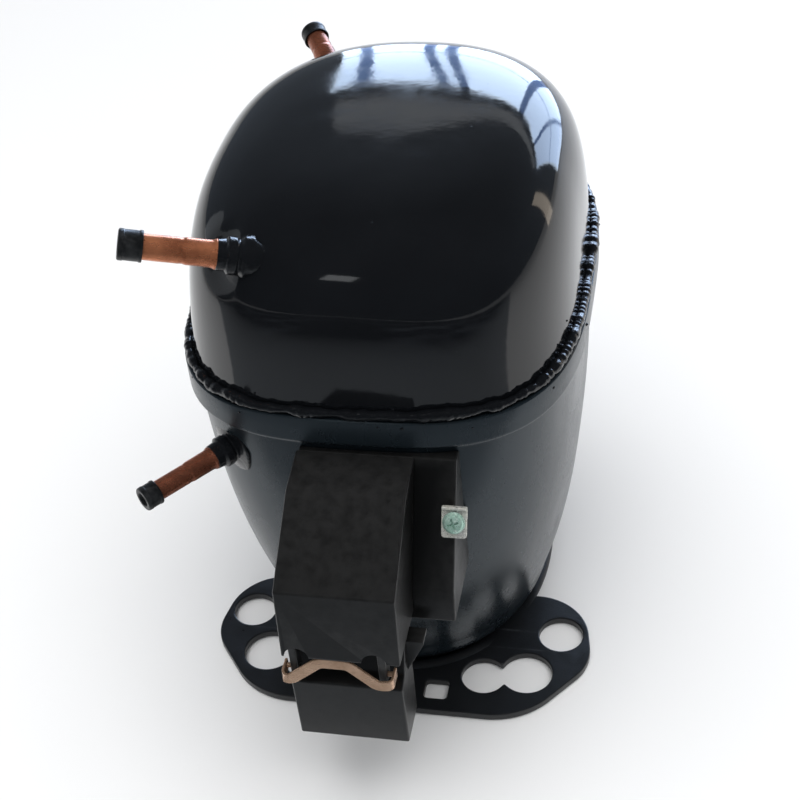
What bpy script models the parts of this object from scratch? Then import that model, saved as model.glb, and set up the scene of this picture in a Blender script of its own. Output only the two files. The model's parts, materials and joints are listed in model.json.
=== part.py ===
"""Hermetic reciprocating refrigeration compressor, in metres, +Z up.

The origin is on the underside of the base plate, at its centre. The terminal box faces -Y, and the long
axis of the oval casing lies along Y. Inside, a vertical motor drives a piston through a sliding-block crank.
"""

import math

import bmesh
import bpy
from mathutils import Matrix, Vector

# Casing
CASE_X = 0.0760
CASE_Y = 0.0950
CASE_POWER = 3.2
CROWN_POWER = 2.25
WALL = 0.0030
GAP = 0.0003
SEAM_Z = 0.1590
CROWN_HEIGHT = 0.0695
SKIRT_Z = 0.1488
COLLAR_STEP = 0.0032
COLLAR_Z = 0.1475
NECK_Z = 0.1455
FOOT_X = 0.0560
FOOT_Y = 0.0750
FOOT_POWER = 2.1
FOOT_Z = 0.0038
CASE_SIDES = 40

# Base plate
PLATE_THICKNESS = 0.0035
FRONT_CORNERS = ((0.0840, -0.0660, 0.0220), (0.0580, -0.0990, 0.0330))
EAR_CORNER = (0.0780, -0.0290, 0.0240)
REAR_CORNER = (0.0500, 0.0960, 0.0140)
EAR_HOLE = (0.0694, -0.0510, 0.0095)
LOBE_HOLE = (0.0570, -0.0743, 0.0110)
SMALL_LOBE = (0.0391, -0.0778, 0.0096)
SQUARE_HOLE = (0.0201, -0.0876, 0.0050)
REAR_HOLE = (0.0360, 0.0820, 0.0095)

# Pipe stubs: foot of the stub on the casing, direction, bare length, radius
STUBS = {
    "suction": {"foot": (-0.0381, -0.0771, 0.2144), "way": (-0.919, -0.282, 0.274), "length": 0.0406,
                "radius": 0.0049, "sleeve": 0.0070, "boss": 0.0083, "cap_length": 0.0082},
    "discharge": {"foot": (-0.0529, -0.0834, 0.1303), "way": (-0.640, -0.768, -0.038), "length": 0.0382,
                  "radius": 0.0041, "sleeve": 0.0062, "boss": 0.0113, "cap_length": 0.0060},
    "process": {"foot": (-0.0405, 0.0873, 0.1974), "way": (-0.490, 0.832, 0.261), "length": 0.0322,
                "radius": 0.0049, "sleeve": 0.0068, "boss": 0.0083, "cap_length": 0.0056},
}
STUB_WALL = 0.0010
STUB_INSIDE = 0.0120
CAP_WALL = 0.0005

# Terminal box and cover
TERMINAL_Z = 0.1120
TERMINAL_RADIUS = 0.0150
BOX_X = (-0.0215, 0.0380)
BOX_PROFILE = ((-0.0860, 0.1430), (-0.0970, 0.1430), (-0.1200, 0.0985), (-0.1210, 0.0830), (-0.0860, 0.0830))
BOX_WALL = 0.0020
BOX_WINDOW_X = (-0.0175, 0.0175)
BOX_WINDOW_Z = (0.0900, 0.1340)
COVER_X = (-0.0220, 0.0225)
COVER_PROFILE = ((-0.0978, 0.1440), (-0.1160, 0.1405), (-0.1475, 0.1195), (-0.1500, 0.0885),
                 (-0.1220, 0.0885), (-0.1208, 0.0990))
NOTCH_X = (-0.0163, 0.0128)
NOTCH_RADIUS = 0.0048
LUG_X = (-0.0190, 0.0145)
LUG_Z = 0.0735
CORD_BOX_X = (-0.0225, 0.0205)
CORD_BOX_PROFILE = ((-0.1020, 0.0824), (-0.1020, 0.0796), (-0.1240, 0.0796), (-0.1240, 0.0355),
                    (-0.1418, 0.0355), (-0.1430, 0.0672), (-0.1375, 0.0700), (-0.1330, 0.0824))
CLIP_AXIS = (-0.1438, 0.0772)
CLIP_THICKNESS = 0.0010
CLIP_WIDTH = 0.0048

# Motor and pump
BOLT_X = 0.0320
BOLT_Y = 0.0360
STATOR_HALF = (0.0450, 0.0490)
STATOR_Z = (0.0380, 0.0780)
STATOR_BORE = 0.0268
ROTOR_RADIUS = 0.0264
SHAFT_RADIUS = 0.0080
JOURNAL_RADIUS = 0.0090
DECK_Z = (0.0980, 0.1100)
CRANK_RADIUS = 0.0090
PIN_RADIUS = 0.0045
CYLINDER_Z = 0.1380
BORE_RADIUS = 0.0130
PISTON_RADIUS = 0.0127
YOKE_RADIUS = 0.0110
YOKE_BORE = 0.0083
YOKE_HALF = 0.0210
BLOCK_FACE_Y = 0.0620
HEAD_HALF = (0.0230, 0.0220)
HEAD_SCREW = (0.0190, 0.0180)
SPRING_RADIUS = 0.0062
SPRING_WIRE = 0.0009
SPRING_TURNS = 4

COLOURS = {
    "black_paint": ((0.012, 0.013, 0.015), 0.18, 0.0),
    "plate_paint": ((0.014, 0.015, 0.017), 0.45, 0.0),
    "copper": ((0.62, 0.27, 0.16), 0.35, 1.0),
    "black_rubber": ((0.015, 0.016, 0.016), 0.55, 0.0),
    "black_plastic": ((0.020, 0.022, 0.023), 0.42, 0.0),
    "grey_plastic": ((0.55, 0.55, 0.52), 0.50, 0.0),
    "zinc": ((0.68, 0.69, 0.66), 0.35, 1.0),
    "green_zinc": ((0.16, 0.42, 0.30), 0.35, 0.8),
    "steel": ((0.55, 0.56, 0.58), 0.30, 1.0),
    "cast_iron": ((0.20, 0.20, 0.21), 0.60, 0.9),
    "lamination": ((0.32, 0.33, 0.36), 0.45, 0.9),
    "winding": ((0.45, 0.17, 0.08), 0.35, 0.6),
    "aluminium": ((0.75, 0.76, 0.78), 0.35, 1.0),
    "glass": ((0.10, 0.30, 0.22), 0.10, 0.0),
    "gasket": ((0.08, 0.09, 0.10), 0.80, 0.0),
    "muffler_plastic": ((0.80, 0.78, 0.70), 0.50, 0.0),
}


def clear_scene():
    for obj in list(bpy.data.objects):
        bpy.data.objects.remove(obj, do_unlink=True)


def material(name):
    found = bpy.data.materials.get(name)
    if found:
        return found
    colour, roughness, metallic = COLOURS[name]
    made = bpy.data.materials.new(name)
    made.use_nodes = True
    shader = made.node_tree.nodes["Principled BSDF"]
    shader.inputs["Base Color"].default_value = (*colour, 1.0)
    shader.inputs["Roughness"].default_value = roughness
    shader.inputs["Metallic"].default_value = metallic
    return made


def finish(name, bm, finish_name, smooth=True):
    """Turns a closed bmesh into an object, with its faces pointing out."""
    bmesh.ops.remove_doubles(bm, verts=bm.verts, dist=1e-6)
    bmesh.ops.recalc_face_normals(bm, faces=bm.faces)
    mesh = bpy.data.meshes.new(name)
    bm.to_mesh(mesh)
    bm.free()
    if smooth:
        mesh.shade_smooth()
        mesh.set_sharp_from_angle(angle=math.radians(35))
    mesh.materials.append(material(finish_name))
    obj = bpy.data.objects.new(name, mesh)
    bpy.context.scene.collection.objects.link(obj)
    return obj


def skin(name, rings, finish_name, closed=False):
    """Joins rings of points in order. A ring of one point is a pole, and open ends get a flat cap."""
    bm = bmesh.new()
    rows = [[bm.verts.new(point) for point in ring] for ring in rings]
    pairs = list(zip(rows, rows[1:]))
    if closed:
        pairs.append((rows[-1], rows[0]))
    for low, high in pairs:
        count = max(len(low), len(high))
        for i in range(count):
            j = (i + 1) % count
            corners = [low[i % len(low)], low[j % len(low)], high[j % len(high)], high[i % len(high)]]
            bm.faces.new(list(dict.fromkeys(corners)))
    if not closed:
        for row in (rows[0], rows[-1]):
            if len(row) > 2:
                bm.faces.new(row)
    return finish(name, bm, finish_name)


def circle(radius, z, sides, phase=0.0):
    if radius == 0:
        return [(0, 0, z)]
    angles = [2 * math.pi * (i + phase) / sides for i in range(sides)]
    return [(radius * math.cos(a), radius * math.sin(a), z) for a in angles]


def turned(name, profile, finish_name, sides=32, ring=False, phase=0.0):
    """Turns a profile of (radius, height) about Z. With ring set the profile is a closed loop."""
    return skin(name, [circle(r, z, sides, phase) for r, z in profile], finish_name, closed=ring)


def prism(name, outline, low, high, axis, finish_name):
    """Extrudes an outline along one axis. Its two numbers are the other two axes, in X, Y, Z order."""
    def point(pair, depth):
        values = list(pair)
        values.insert("XYZ".index(axis), depth)
        return values

    return skin(name, [[point(p, low) for p in outline], [point(p, high) for p in outline]], finish_name)


def block(name, low, high, finish_name, bevel=0.0, segments=1):
    outline = [(low[0], low[1]), (high[0], low[1]), (high[0], high[1]), (low[0], high[1])]
    obj = prism(name, outline, low[2], high[2], "Z", finish_name)
    if bevel:
        add_bevel(obj, bevel, segments)
    return obj


def add_bevel(obj, width, segments=1):
    bevel = obj.modifiers.new("Bevel", "BEVEL")
    bevel.width = width
    bevel.segments = segments
    bevel.limit_method = "ANGLE"
    bevel.angle_limit = math.radians(35)


def rounded(corners, steps=5):
    """An outline with an arc at each corner, where a corner is (x, y, radius)."""
    points = []
    for i, (x, y, radius) in enumerate(corners):
        here = Vector((x, y))
        before = (Vector(corners[i - 1][:2]) - here).normalized()
        after = (Vector(corners[(i + 1) % len(corners)][:2]) - here).normalized()
        if radius == 0:
            points.append((x, y))
            continue
        half = before.angle(after) / 2
        centre = here + (before + after).normalized() * (radius / math.sin(half))
        start = here + before * (radius / math.tan(half)) - centre
        end = here + after * (radius / math.tan(half)) - centre
        turn = start.angle_signed(end)
        for step in range(steps + 1):
            angle = -turn * step / steps
            spot = centre + Matrix.Rotation(angle, 2) @ start
            points.append((spot.x, spot.y))
    return points


def place(obj, location, way=(0, 0, 1)):
    """Moves an object and turns its own +Z to the given direction."""
    turn = Vector((0, 0, 1)).rotation_difference(Vector(way))
    obj.location = location
    obj.rotation_euler = turn.to_euler()
    return obj


def as_helper(obj):
    obj.hide_render = True
    obj.display_type = "WIRE"
    return obj


def combine(obj, other, operation):
    as_helper(other)
    modifier = obj.modifiers.new(operation.title(), "BOOLEAN")
    modifier.operation = operation
    modifier.object = other
    modifier.solver = "EXACT"


def cut(obj, cutter):
    combine(obj, cutter, "DIFFERENCE")


def join(obj, other):
    combine(obj, other, "UNION")


def cut_round(obj, radius, centre, way, length, sides=24):
    """Cuts a round hole of this length, centred on a point."""
    tool = turned(obj.name + "_drill", [(0, -length / 2), (radius, -length / 2), (radius, length / 2),
                                        (0, length / 2)], "steel", sides, phase=0.3)
    cut(obj, place(tool, centre, way))


def oval(half_x, half_y, power, z, sides=CASE_SIDES):
    """A superellipse at one height, with its points evenly turned about the centre."""
    points = []
    for i in range(sides):
        angle = 2 * math.pi * (i + 0.5) / sides
        c = math.cos(angle)
        s = math.sin(angle)
        reach = (abs(c) ** power + abs(s) ** power) ** (-1 / power)
        points.append((half_x * reach * c, half_y * reach * s, z))
    return points


def crown_ring(share, inset):
    """The casing's crown at a share of its height. The wall's inner side has an inset."""
    width = (1 - share**4.85) ** (1 / 4.85) * (1 - 0.048 * share)
    length = (1 - share**4.06) ** (1 / 4.06) * (1 + 0.045 * share)
    power = CASE_POWER + (CROWN_POWER - CASE_POWER) * share
    height = SEAM_Z + (CROWN_HEIGHT - inset) * share
    return oval((CASE_X - inset) * width, (CASE_Y - inset) * length, power, height)


def upper_shell():
    shares = [math.sin(math.pi / 2 * i / 8) ** 0.9 for i in range(8)]
    outer = [oval(CASE_X, CASE_Y, CASE_POWER, SKIRT_Z)]
    outer += [crown_ring(share, 0) for share in shares]
    outer += [[(0, 0, SEAM_Z + CROWN_HEIGHT)]]
    inner = [oval(CASE_X - WALL, CASE_Y - WALL, CASE_POWER, SKIRT_Z)]
    inner += [crown_ring(share, WALL) for share in shares]
    inner += [[(0, 0, SEAM_Z + CROWN_HEIGHT - WALL)]]
    shell = skin("upper_shell", inner[::-1] + outer, "black_paint")
    for name in ("suction", "process"):
        stub = STUBS[name]
        cut_round(shell, stub["boss"] + GAP, stub["foot"], stub["way"], 0.060)
    return shell


def lower_half_sizes(z):
    """Half width, half length and superellipse power of the lower casing's outside at a height."""
    share = (NECK_Z - z) / (NECK_Z - FOOT_Z)
    full = 1 - share**2.6
    half_x = FOOT_X + (CASE_X - FOOT_X) * full
    half_y = FOOT_Y + (CASE_Y - FOOT_Y) * full
    return half_x, half_y, CASE_POWER + (FOOT_POWER - CASE_POWER) * share


def lower_rings(grow):
    """The lower casing's outside from the collar down, grown outwards by a margin."""
    rings = []
    for z in (NECK_Z, 0.118, 0.088, 0.060, 0.036, 0.018):
        half_x, half_y, power = lower_half_sizes(z)
        rings.append(oval(half_x + grow, half_y + grow, power, z))
    dish = ((0.0110, 0.0572, 0.0766), (0.0058, 0.0524, 0.0714), (FOOT_Z, 0.0440, 0.0620))
    for z, half_x, half_y in dish:
        lower = z - grow if grow < 0 else z
        rings.append(oval(half_x + grow, half_y + grow, FOOT_POWER, lower))
    return rings


def lower_shell():
    collar_x = CASE_X + COLLAR_STEP
    collar_y = CASE_Y + COLLAR_STEP
    outer = [oval(collar_x, collar_y, CASE_POWER, z) for z in (SEAM_Z, COLLAR_Z)] + lower_rings(0)
    socket_x = CASE_X + GAP
    socket_y = CASE_Y + GAP
    step_z = SKIRT_Z - GAP
    inner = [oval(socket_x, socket_y, CASE_POWER, z) for z in (SEAM_Z, step_z)]
    inner += [oval(CASE_X - WALL, CASE_Y - WALL, CASE_POWER, step_z)] + lower_rings(-WALL)
    shell = skin("lower_shell", [[(0, 0, FOOT_Z + WALL)]] + inner[::-1] + outer + [[(0, 0, FOOT_Z)]], "black_paint")
    cut_round(shell, TERMINAL_RADIUS, (0, -CASE_Y, TERMINAL_Z), (0, 1, 0), 0.040, 32)
    stub = STUBS["discharge"]
    cut_round(shell, stub["boss"] + GAP, stub["foot"], stub["way"], 0.040)
    return shell


def weld_bead():
    inner = CASE_X + GAP, CASE_Y + GAP
    section = ((0, 0.0003), (0.0032, 0.0003), (0.0033, 0.0016), (0.0020, 0.0038), (0, 0.0044))
    rings = [oval(inner[0] + out, inner[1] + out, CASE_POWER, SEAM_Z + up) for out, up in section]
    return skin("weld_bead", rings, "black_paint", closed=True)


def base_plate():
    waist = (REAR_CORNER[0], EAR_CORNER[1], 0)
    right = [REAR_CORNER, waist, EAR_CORNER, *FRONT_CORNERS]
    left = [(-x, y, r) for x, y, r in right[::-1]]
    plate = prism("base_plate", rounded(right + left, 5), 0, PLATE_THICKNESS, "Z", "plate_paint")
    middle = PLATE_THICKNESS / 2
    for side in (-1, 1):
        for x, y, radius in (EAR_HOLE, LOBE_HOLE, SMALL_LOBE, REAR_HOLE):
            cut_round(plate, radius, (side * x, y, middle), (0, 0, 1), 0.020, 20)
        x, y, half = SQUARE_HOLE
        corners = [(side * x + i * half, y + j * half, 0.0015) for i, j in ((-1, -1), (1, -1), (1, 1), (-1, 1))]
        cut(plate, prism("square_cutter", rounded(corners, 3), -0.010, 0.010, "Z", "steel"))
    return plate


def pipe_stub(name, stub):
    radius = stub["radius"]
    end = stub["length"]
    bore = radius - STUB_WALL
    tube = turned(name + "_tube", [(bore, -STUB_INSIDE), (radius, -STUB_INSIDE), (radius, end), (bore, end)],
                  "copper", 16, ring=True)
    place(tube, stub["foot"], stub["way"])
    hole = radius + GAP
    outer = stub["sleeve"]
    boss = stub["boss"]
    sleeve = turned(name + "_sleeve", [(hole, -0.0080), (outer, -0.0080), (outer, -0.0060), (boss, -0.0040),
                                       (boss, 0.0004), (outer, 0.0020), (outer, 0.0048), (outer - 0.0010, 0.0056),
                                       (outer - 0.0012, 0.0088), (hole, 0.0088)], "black_paint", 20, ring=True)
    place(sleeve, stub["foot"], stub["way"])
    rim = radius + GAP + CAP_WALL
    mouth = end - stub["cap_length"] + 0.0020
    top = end + 0.0025
    cap = turned(name + "_cap", [(0, end + GAP), (radius + GAP, end + GAP), (radius + GAP, mouth), (rim, mouth),
                                 (rim, top - 0.0008), (rim - 0.0008, top), (rim - 0.0022, top),
                                 (rim - 0.0026, top - 0.0012), (0, top - 0.0012)], "black_rubber", 16)
    place(cap, stub["foot"], stub["way"])


def terminal():
    at = (0, -CASE_Y, TERMINAL_Z)
    out = (0, -1, 0)
    rim = TERMINAL_RADIUS - GAP
    cup = turned("terminal_body", [(0, -0.0060), (rim, -0.0060), (rim, 0.0030), (rim - 0.0015, 0.0030),
                                   (rim - 0.0030, -0.0030), (0, -0.0030)], "steel", 24)
    place(cup, at, out)
    insulator = turned("terminal_insulator", [(0, -0.0027), (0.0100, -0.0027), (0.0095, -0.0010), (0, -0.0010)],
                       "glass", 18)
    place(insulator, at, out)
    for index in range(3):
        angle = math.radians(90 + 120 * index)
        x = 0.0058 * math.cos(angle)
        z = TERMINAL_Z + 0.0058 * math.sin(angle)
        cut_round(cup, 0.0019, (x, -CASE_Y, z), out, 0.030, 12)
        cut_round(insulator, 0.0015, (x, -CASE_Y, z), out, 0.030, 12)
        pin = turned("terminal_pin_%d" % (index + 1), [(0, -0.0110), (0.0012, -0.0110), (0.0012, 0.0065),
                                                       (0, 0.0070)], "steel", 12)
        place(pin, (x, -CASE_Y, z), out)


def inset_profile(profile, wall):
    """A closed profile moved inwards by the wall's thickness."""
    points = []
    for i, corner in enumerate(profile):
        here = Vector(corner)
        before = (here - Vector(profile[i - 1])).normalized()
        after = (Vector(profile[(i + 1) % len(profile)]) - here).normalized()
        inward = Vector((-before.y - after.y, before.x + after.x))
        inward *= wall / (1 + before.dot(after))
        points.append(tuple(here + inward))
    return points


def case_cutter(grow):
    rings = [oval(CASE_X + grow, CASE_Y + grow, CASE_POWER, 0.160)] + lower_rings(grow)
    return skin("case_cutter", rings, "steel")


def terminal_box():
    box = prism("terminal_box", BOX_PROFILE, *BOX_X, "X", "black_plastic")
    inner = inset_profile(BOX_PROFILE, BOX_WALL)
    inner[0] = (-0.080, inner[0][1])
    inner[4] = (-0.080, inner[4][1])
    cut(box, prism("box_core", inner, BOX_X[0] + BOX_WALL, BOX_X[1] - BOX_WALL, "X", "steel"))
    cut(box, block("box_window", (BOX_WINDOW_X[0], -0.130, BOX_WINDOW_Z[0]),
                   (BOX_WINDOW_X[1], -0.090, BOX_WINDOW_Z[1]), "steel"))
    cut(box, case_cutter(0.0004))
    return box


def terminal_cover():
    cover = prism("terminal_cover", COVER_PROFILE, *COVER_X, "X", "black_plastic")
    inner = inset_profile(COVER_PROFILE, BOX_WALL)
    inner[0] = (-0.0950, inner[0][1])
    inner[4] = (-0.1150, inner[4][1])
    inner[5] = (-0.1150, 0.0990)
    cut(cover, prism("cover_core", inner, COVER_X[0] + BOX_WALL, COVER_X[1] - BOX_WALL, "X", "steel"))
    for notch_x, lug_x in zip(NOTCH_X, LUG_X):
        cut_round(cover, NOTCH_RADIUS, (notch_x, -0.1500, 0.0885), (0, 1, 0), 0.014, 16)
        lug = block("cover_lug", (lug_x - 0.0015, -0.1462, LUG_Z), (lug_x + 0.0015, -0.1400, 0.0895), "black_plastic")
        join(cover, lug)
        cut_round(cover, 0.0013, (lug_x, *CLIP_AXIS), (1, 0, 0), 0.010, 10)
    return cover


def clip_path():
    """The strap's middle line, from one end to the other, in (x, z) about the hinge axis."""
    rise = 0.0085
    return ((-0.0235, -0.0010), (-0.0205, -0.0022), (-0.0085, rise), (0.0025, rise), (0.0130, -0.0016),
            (0.0188, -0.0010))


def cord_clip():
    """A copper strap that springs across the cord outlet, with a short leg and a pin at each end."""
    front = -0.0045
    half = CLIP_WIDTH / 2
    line = clip_path()
    outline = [(x, z + half) for x, z in line] + [(x, z - half) for x, z in line[::-1]]
    strap = prism("cord_clip", outline, front - CLIP_THICKNESS, front, "Y", "copper")
    for side, x in ((-1, line[0][0]), (1, line[-1][0])):
        near = min(x, x - side * CLIP_THICKNESS)
        leg = block("clip_leg", (near, front - 0.0002, -0.0032), (near + CLIP_THICKNESS, 0.0022, 0.0022), "copper")
        join(strap, leg)
        pin = turned("clip_pin", [(0, 0), (0.0010, 0), (0.0010, 0.0052), (0, 0.0052)], "copper", 8)
        join(strap, place(pin, (x - side * 0.0002, 0, 0), (-side, 0, 0)))
    for helper in bpy.data.objects:
        if helper.name.startswith(("clip_leg", "clip_pin")):
            helper.parent = strap
    strap.location = (0, *CLIP_AXIS)
    return strap


def cord_box():
    box = prism("cord_box", CORD_BOX_PROFILE, *CORD_BOX_X, "X", "black_plastic")
    inner = [(-0.1180, 0.0900), (-0.1180, 0.0375), (-0.1398, 0.0375), (-0.1410, 0.0660), (-0.1358, 0.0684),
             (-0.1320, 0.0900)]
    core = prism("cord_core", inner, CORD_BOX_X[0] + BOX_WALL, CORD_BOX_X[1] - BOX_WALL, "X", "steel")
    flank = ((CORD_BOX_X[1] - 0.0010, 0.0640), (CORD_BOX_X[1] + 0.0070, 0.0810), (CORD_BOX_X[1] + 0.0070, 0.0824),
             (CORD_BOX_X[1] - 0.0010, 0.0824))
    join(box, prism("cord_flank", flank, -0.1320, -0.1244, "Y", "black_plastic"))
    cut(box, core)
    return box


def electrical_parts():
    relay = block("start_relay", (-0.0155, -0.1160, 0.1045), (0.0155, -0.0990, 0.1320), "grey_plastic", 0.0010)
    for index in range(3):
        angle = math.radians(90 + 120 * index)
        x = 0.0058 * math.cos(angle)
        z = TERMINAL_Z + 0.0058 * math.sin(angle)
        cut_round(relay, 0.0016, (x, -0.0990, z), (0, 1, 0), 0.010, 10)
    guard = turned("overload_protector", [(0, 0), (0.0105, 0), (0.0112, 0.0010), (0.0112, 0.0090), (0.0100, 0.0105),
                                          (0, 0.0105)], "black_plastic", 20)
    place(guard, (0, -0.1163, 0.1180), (0, -1, 0))


def earth_parts():
    """A zinc tab on its own leg beside the terminal box, with the green earth screw through it."""
    slope = Vector((0, -0.0415, 0.0210)).normalized()
    up = Vector((0, 0.0210, 0.0415)).normalized()
    centre = Vector((0.03825, -0.1076, 0.1236)) + slope * 0.0040
    tab = block("earth_bracket", (-0.00475, -0.00605, -0.0006), (0.00475, 0.00605, 0.0006), "zinc")
    frame = Matrix((Vector((1, 0, 0)), up, slope)).transposed().to_4x4()
    frame.translation = centre
    tab.matrix_world = frame
    leg = block("earth_leg", (0.0001, -0.0060, -0.0243), (0.0013, -0.0024, -0.0001), "zinc")
    leg.matrix_world = frame
    join(tab, leg)
    hole = turned("earth_hole", [(0, -0.005), (0.0022, -0.005), (0.0022, 0.005), (0, 0.005)], "steel", 16)
    hole.matrix_world = frame
    cut(tab, hole)
    head = [(0, -0.0028), (0.0019, -0.0028), (0.0019, 0.0009), (0.0042, 0.0009), (0.0042, 0.0019),
            (0.0030, 0.0031), (0.0012, 0.0036), (0, 0.0037)]
    screw = turned("earth_screw", head, "green_zinc", 20)
    screw.matrix_world = frame


def stator():
    half_x, half_y = STATOR_HALF
    corners = [(i * half_x, j * half_y, 0.0090) for i, j in ((-1, -1), (1, -1), (1, 1), (-1, 1))]
    core = prism("stator_core", rounded(corners, 4), *STATOR_Z, "Z", "lamination")
    middle = sum(STATOR_Z) / 2
    cut_round(core, STATOR_BORE, (0, 0, middle), (0, 0, 1), 0.060, 32)
    bolt = [(0, 0.0338), (0.0040, 0.0338), (0.0040, 0.0377), (0.0024, 0.0377), (0.0024, 0.0880), (0, 0.0880)]
    for index, (i, j) in enumerate(((-1, -1), (1, -1), (1, 1), (-1, 1))):
        at = (i * BOLT_X, j * BOLT_Y, 0)
        cut_round(core, 0.0028, (at[0], at[1], middle), (0, 0, 1), 0.060, 12)
        place(turned("stator_bolt_%d" % (index + 1), bolt, "steel", 12), at)
    top = ((0.0290, 0.0783), (0.0370, 0.0783), (0.0385, 0.0850), (0.0365, 0.0920), (0.0310, 0.0930), (0.0288, 0.0880))
    turned("winding_top", top, "winding", 24, ring=True)
    bottom = [(r, sum(STATOR_Z) - z) for r, z in top]
    turned("winding_bottom", bottom, "winding", 24, ring=True)


def rotor():
    low = STATOR_Z[0] + 0.0010
    high = STATOR_Z[1] - 0.0010
    bore = SHAFT_RADIUS + GAP
    turned("rotor_core", [(bore, low), (ROTOR_RADIUS, low), (ROTOR_RADIUS, high), (bore, high)], "lamination", 28,
           ring=True)
    turned("rotor_ring_top", [(0.0140, high + GAP), (0.0252, high + GAP), (0.0240, high + 0.0050),
                              (0.0150, high + 0.0050)], "aluminium", 20, ring=True)
    turned("rotor_ring_bottom", [(0.0140, low - 0.0050), (0.0252, low - 0.0050), (0.0240, low - GAP),
                                 (0.0150, low - GAP)], "aluminium", 20, ring=True)


def crankshaft():
    step = DECK_Z[0] - 0.0155
    flange = DECK_Z[1] + 0.0004
    shaft = turned("crankshaft", [(0, 0.0280), (SHAFT_RADIUS, 0.0280), (SHAFT_RADIUS, step), (JOURNAL_RADIUS, step),
                                  (JOURNAL_RADIUS, flange), (0.0190, flange), (0.0190, 0.1170), (0, 0.1170)],
                   "steel", 24)
    pin = turned("crank_pin", [(0, 0.1150), (PIN_RADIUS, 0.1150), (PIN_RADIUS, 0.1430), (0, 0.1430)], "steel", 16)
    join(shaft, place(pin, (0, CRANK_RADIUS, 0)))
    cut_round(shaft, 0.0050, (0, 0, 0.0290), (0, 0, 1), 0.020, 16)
    turned("oil_pickup", [(0.0032, 0.0120), (0.0038, 0.0120), (0.0047, 0.0260), (0.0047, 0.0370), (0.0039, 0.0370),
                          (0.0039, 0.0260)], "steel", 12, ring=True)
    arc = [(0.0270 * math.cos(math.radians(a)), 0.0270 * math.sin(math.radians(a))) for a in range(190, 351, 16)]
    sector = arc + [(0.0130, -0.0040), (-0.0130, -0.0040)]
    prism("counterweight", sector, 0.1173, 0.1245, "Z", "cast_iron")


def crankcase():
    corners = [(-0.0420, -0.0470, 0.014), (0.0420, -0.0470, 0.014), (0.0420, BLOCK_FACE_Y, 0.006),
               (-0.0420, BLOCK_FACE_Y, 0.006)]
    deck = prism("crankcase", rounded(corners, 4), *DECK_Z, "Z", "cast_iron")
    hub = turned("main_hub", [(0, 0.0845), (0.0150, 0.0845), (0.0170, 0.0990), (0, 0.0990)], "cast_iron", 20)
    join(deck, hub)
    join(deck, block("cylinder_block", (-0.0240, 0.0300, 0.1090), (0.0240, BLOCK_FACE_Y, 0.1600), "cast_iron"))
    leg = [(0, STATOR_Z[1] + GAP), (0.0060, STATOR_Z[1] + GAP), (0.0060, 0.0990), (0, 0.0990)]
    for i, j in ((-1, -1), (1, -1), (1, 1), (-1, 1)):
        join(deck, place(turned("crankcase_leg", leg, "cast_iron", 12), (i * BOLT_X, j * BOLT_Y, 0)))
        cut_round(deck, 0.0028, (i * BOLT_X, j * BOLT_Y, 0.0790), (0, 0, 1), 0.022, 10)
    cut_round(deck, JOURNAL_RADIUS + GAP, (0, 0, 0.1000), (0, 0, 1), 0.050, 24)
    cut_round(deck, BORE_RADIUS, (0, 0.0450, CYLINDER_Z), (0, 1, 0), 0.060, 32)
    for i, j in ((-1, -1), (1, -1), (1, 1), (-1, 1)):
        at = (i * HEAD_SCREW[0], BLOCK_FACE_Y, CYLINDER_Z + j * HEAD_SCREW[1])
        cut_round(deck, 0.0023, at, (0, 1, 0), 0.024, 8)
    return deck


def piston_group():
    """The piston with its cross tube, the sliding block in the tube, and the tube's top plug."""
    at = Vector((0, CRANK_RADIUS, CYLINDER_Z))
    yoke = turned("piston_yoke", [(0, -YOKE_HALF), (YOKE_RADIUS, -YOKE_HALF), (YOKE_RADIUS, YOKE_HALF),
                                  (0, YOKE_HALF)], "cast_iron", 28)
    place(yoke, at, (1, 0, 0))
    rod = turned("piston_rod", [(0, 0.0095), (0.0046, 0.0095), (0.0046, 0.0330), (0, 0.0330)], "steel", 14)
    join(yoke, place(rod, at, (0, 1, 0)))
    crown = [(0, 0.0310), (PISTON_RADIUS - 0.0004, 0.0310), (PISTON_RADIUS, 0.0315), (PISTON_RADIUS, 0.0505),
             (PISTON_RADIUS - 0.0004, 0.0510), (0, 0.0510)]
    join(yoke, place(turned("piston_crown", crown, "steel", 28), at, (0, 1, 0)))
    cut_round(yoke, YOKE_BORE, at, (1, 0, 0), 0.060, 28)
    reach = CRANK_RADIUS + PIN_RADIUS + 0.0005
    half = PIN_RADIUS + 0.0005
    corners = [(i * reach, CRANK_RADIUS + j * half, half * 0.95) for i, j in ((-1, -1), (1, -1), (1, 1), (-1, 1))]
    cut(yoke, prism("yoke_slot", rounded(corners, 4), 0.1200, 0.1360, "Z", "steel"))
    cut_round(yoke, 0.0033, at + Vector((0, 0, 0.0110)), (0, 0, 1), 0.0090, 16)
    plug = turned("yoke_plug", [(0, 0.0085), (0.0030, 0.0085), (0.0030, 0.0120), (0.0024, 0.0128), (0, 0.0128)],
                  "steel", 12)
    place(plug, at)
    slide = turned("slide_block", [(0, -0.0080), (0.0072, -0.0080), (0.0079, -0.0073), (0.0079, 0.0073),
                                   (0.0072, 0.0080), (0, 0.0080)], "steel", 28)
    place(slide, at, (1, 0, 0))
    cut_round(slide, PIN_RADIUS + GAP, at - Vector((0, 0, 0.0020)), (0, 0, 1), 0.0150, 16)


def head_outline(half_x, half_z, radius):
    corners = ((-1, -1), (1, -1), (1, 1), (-1, 1))
    return rounded([(i * half_x, CYLINDER_Z + j * half_z, radius) for i, j in corners], 3)


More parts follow.
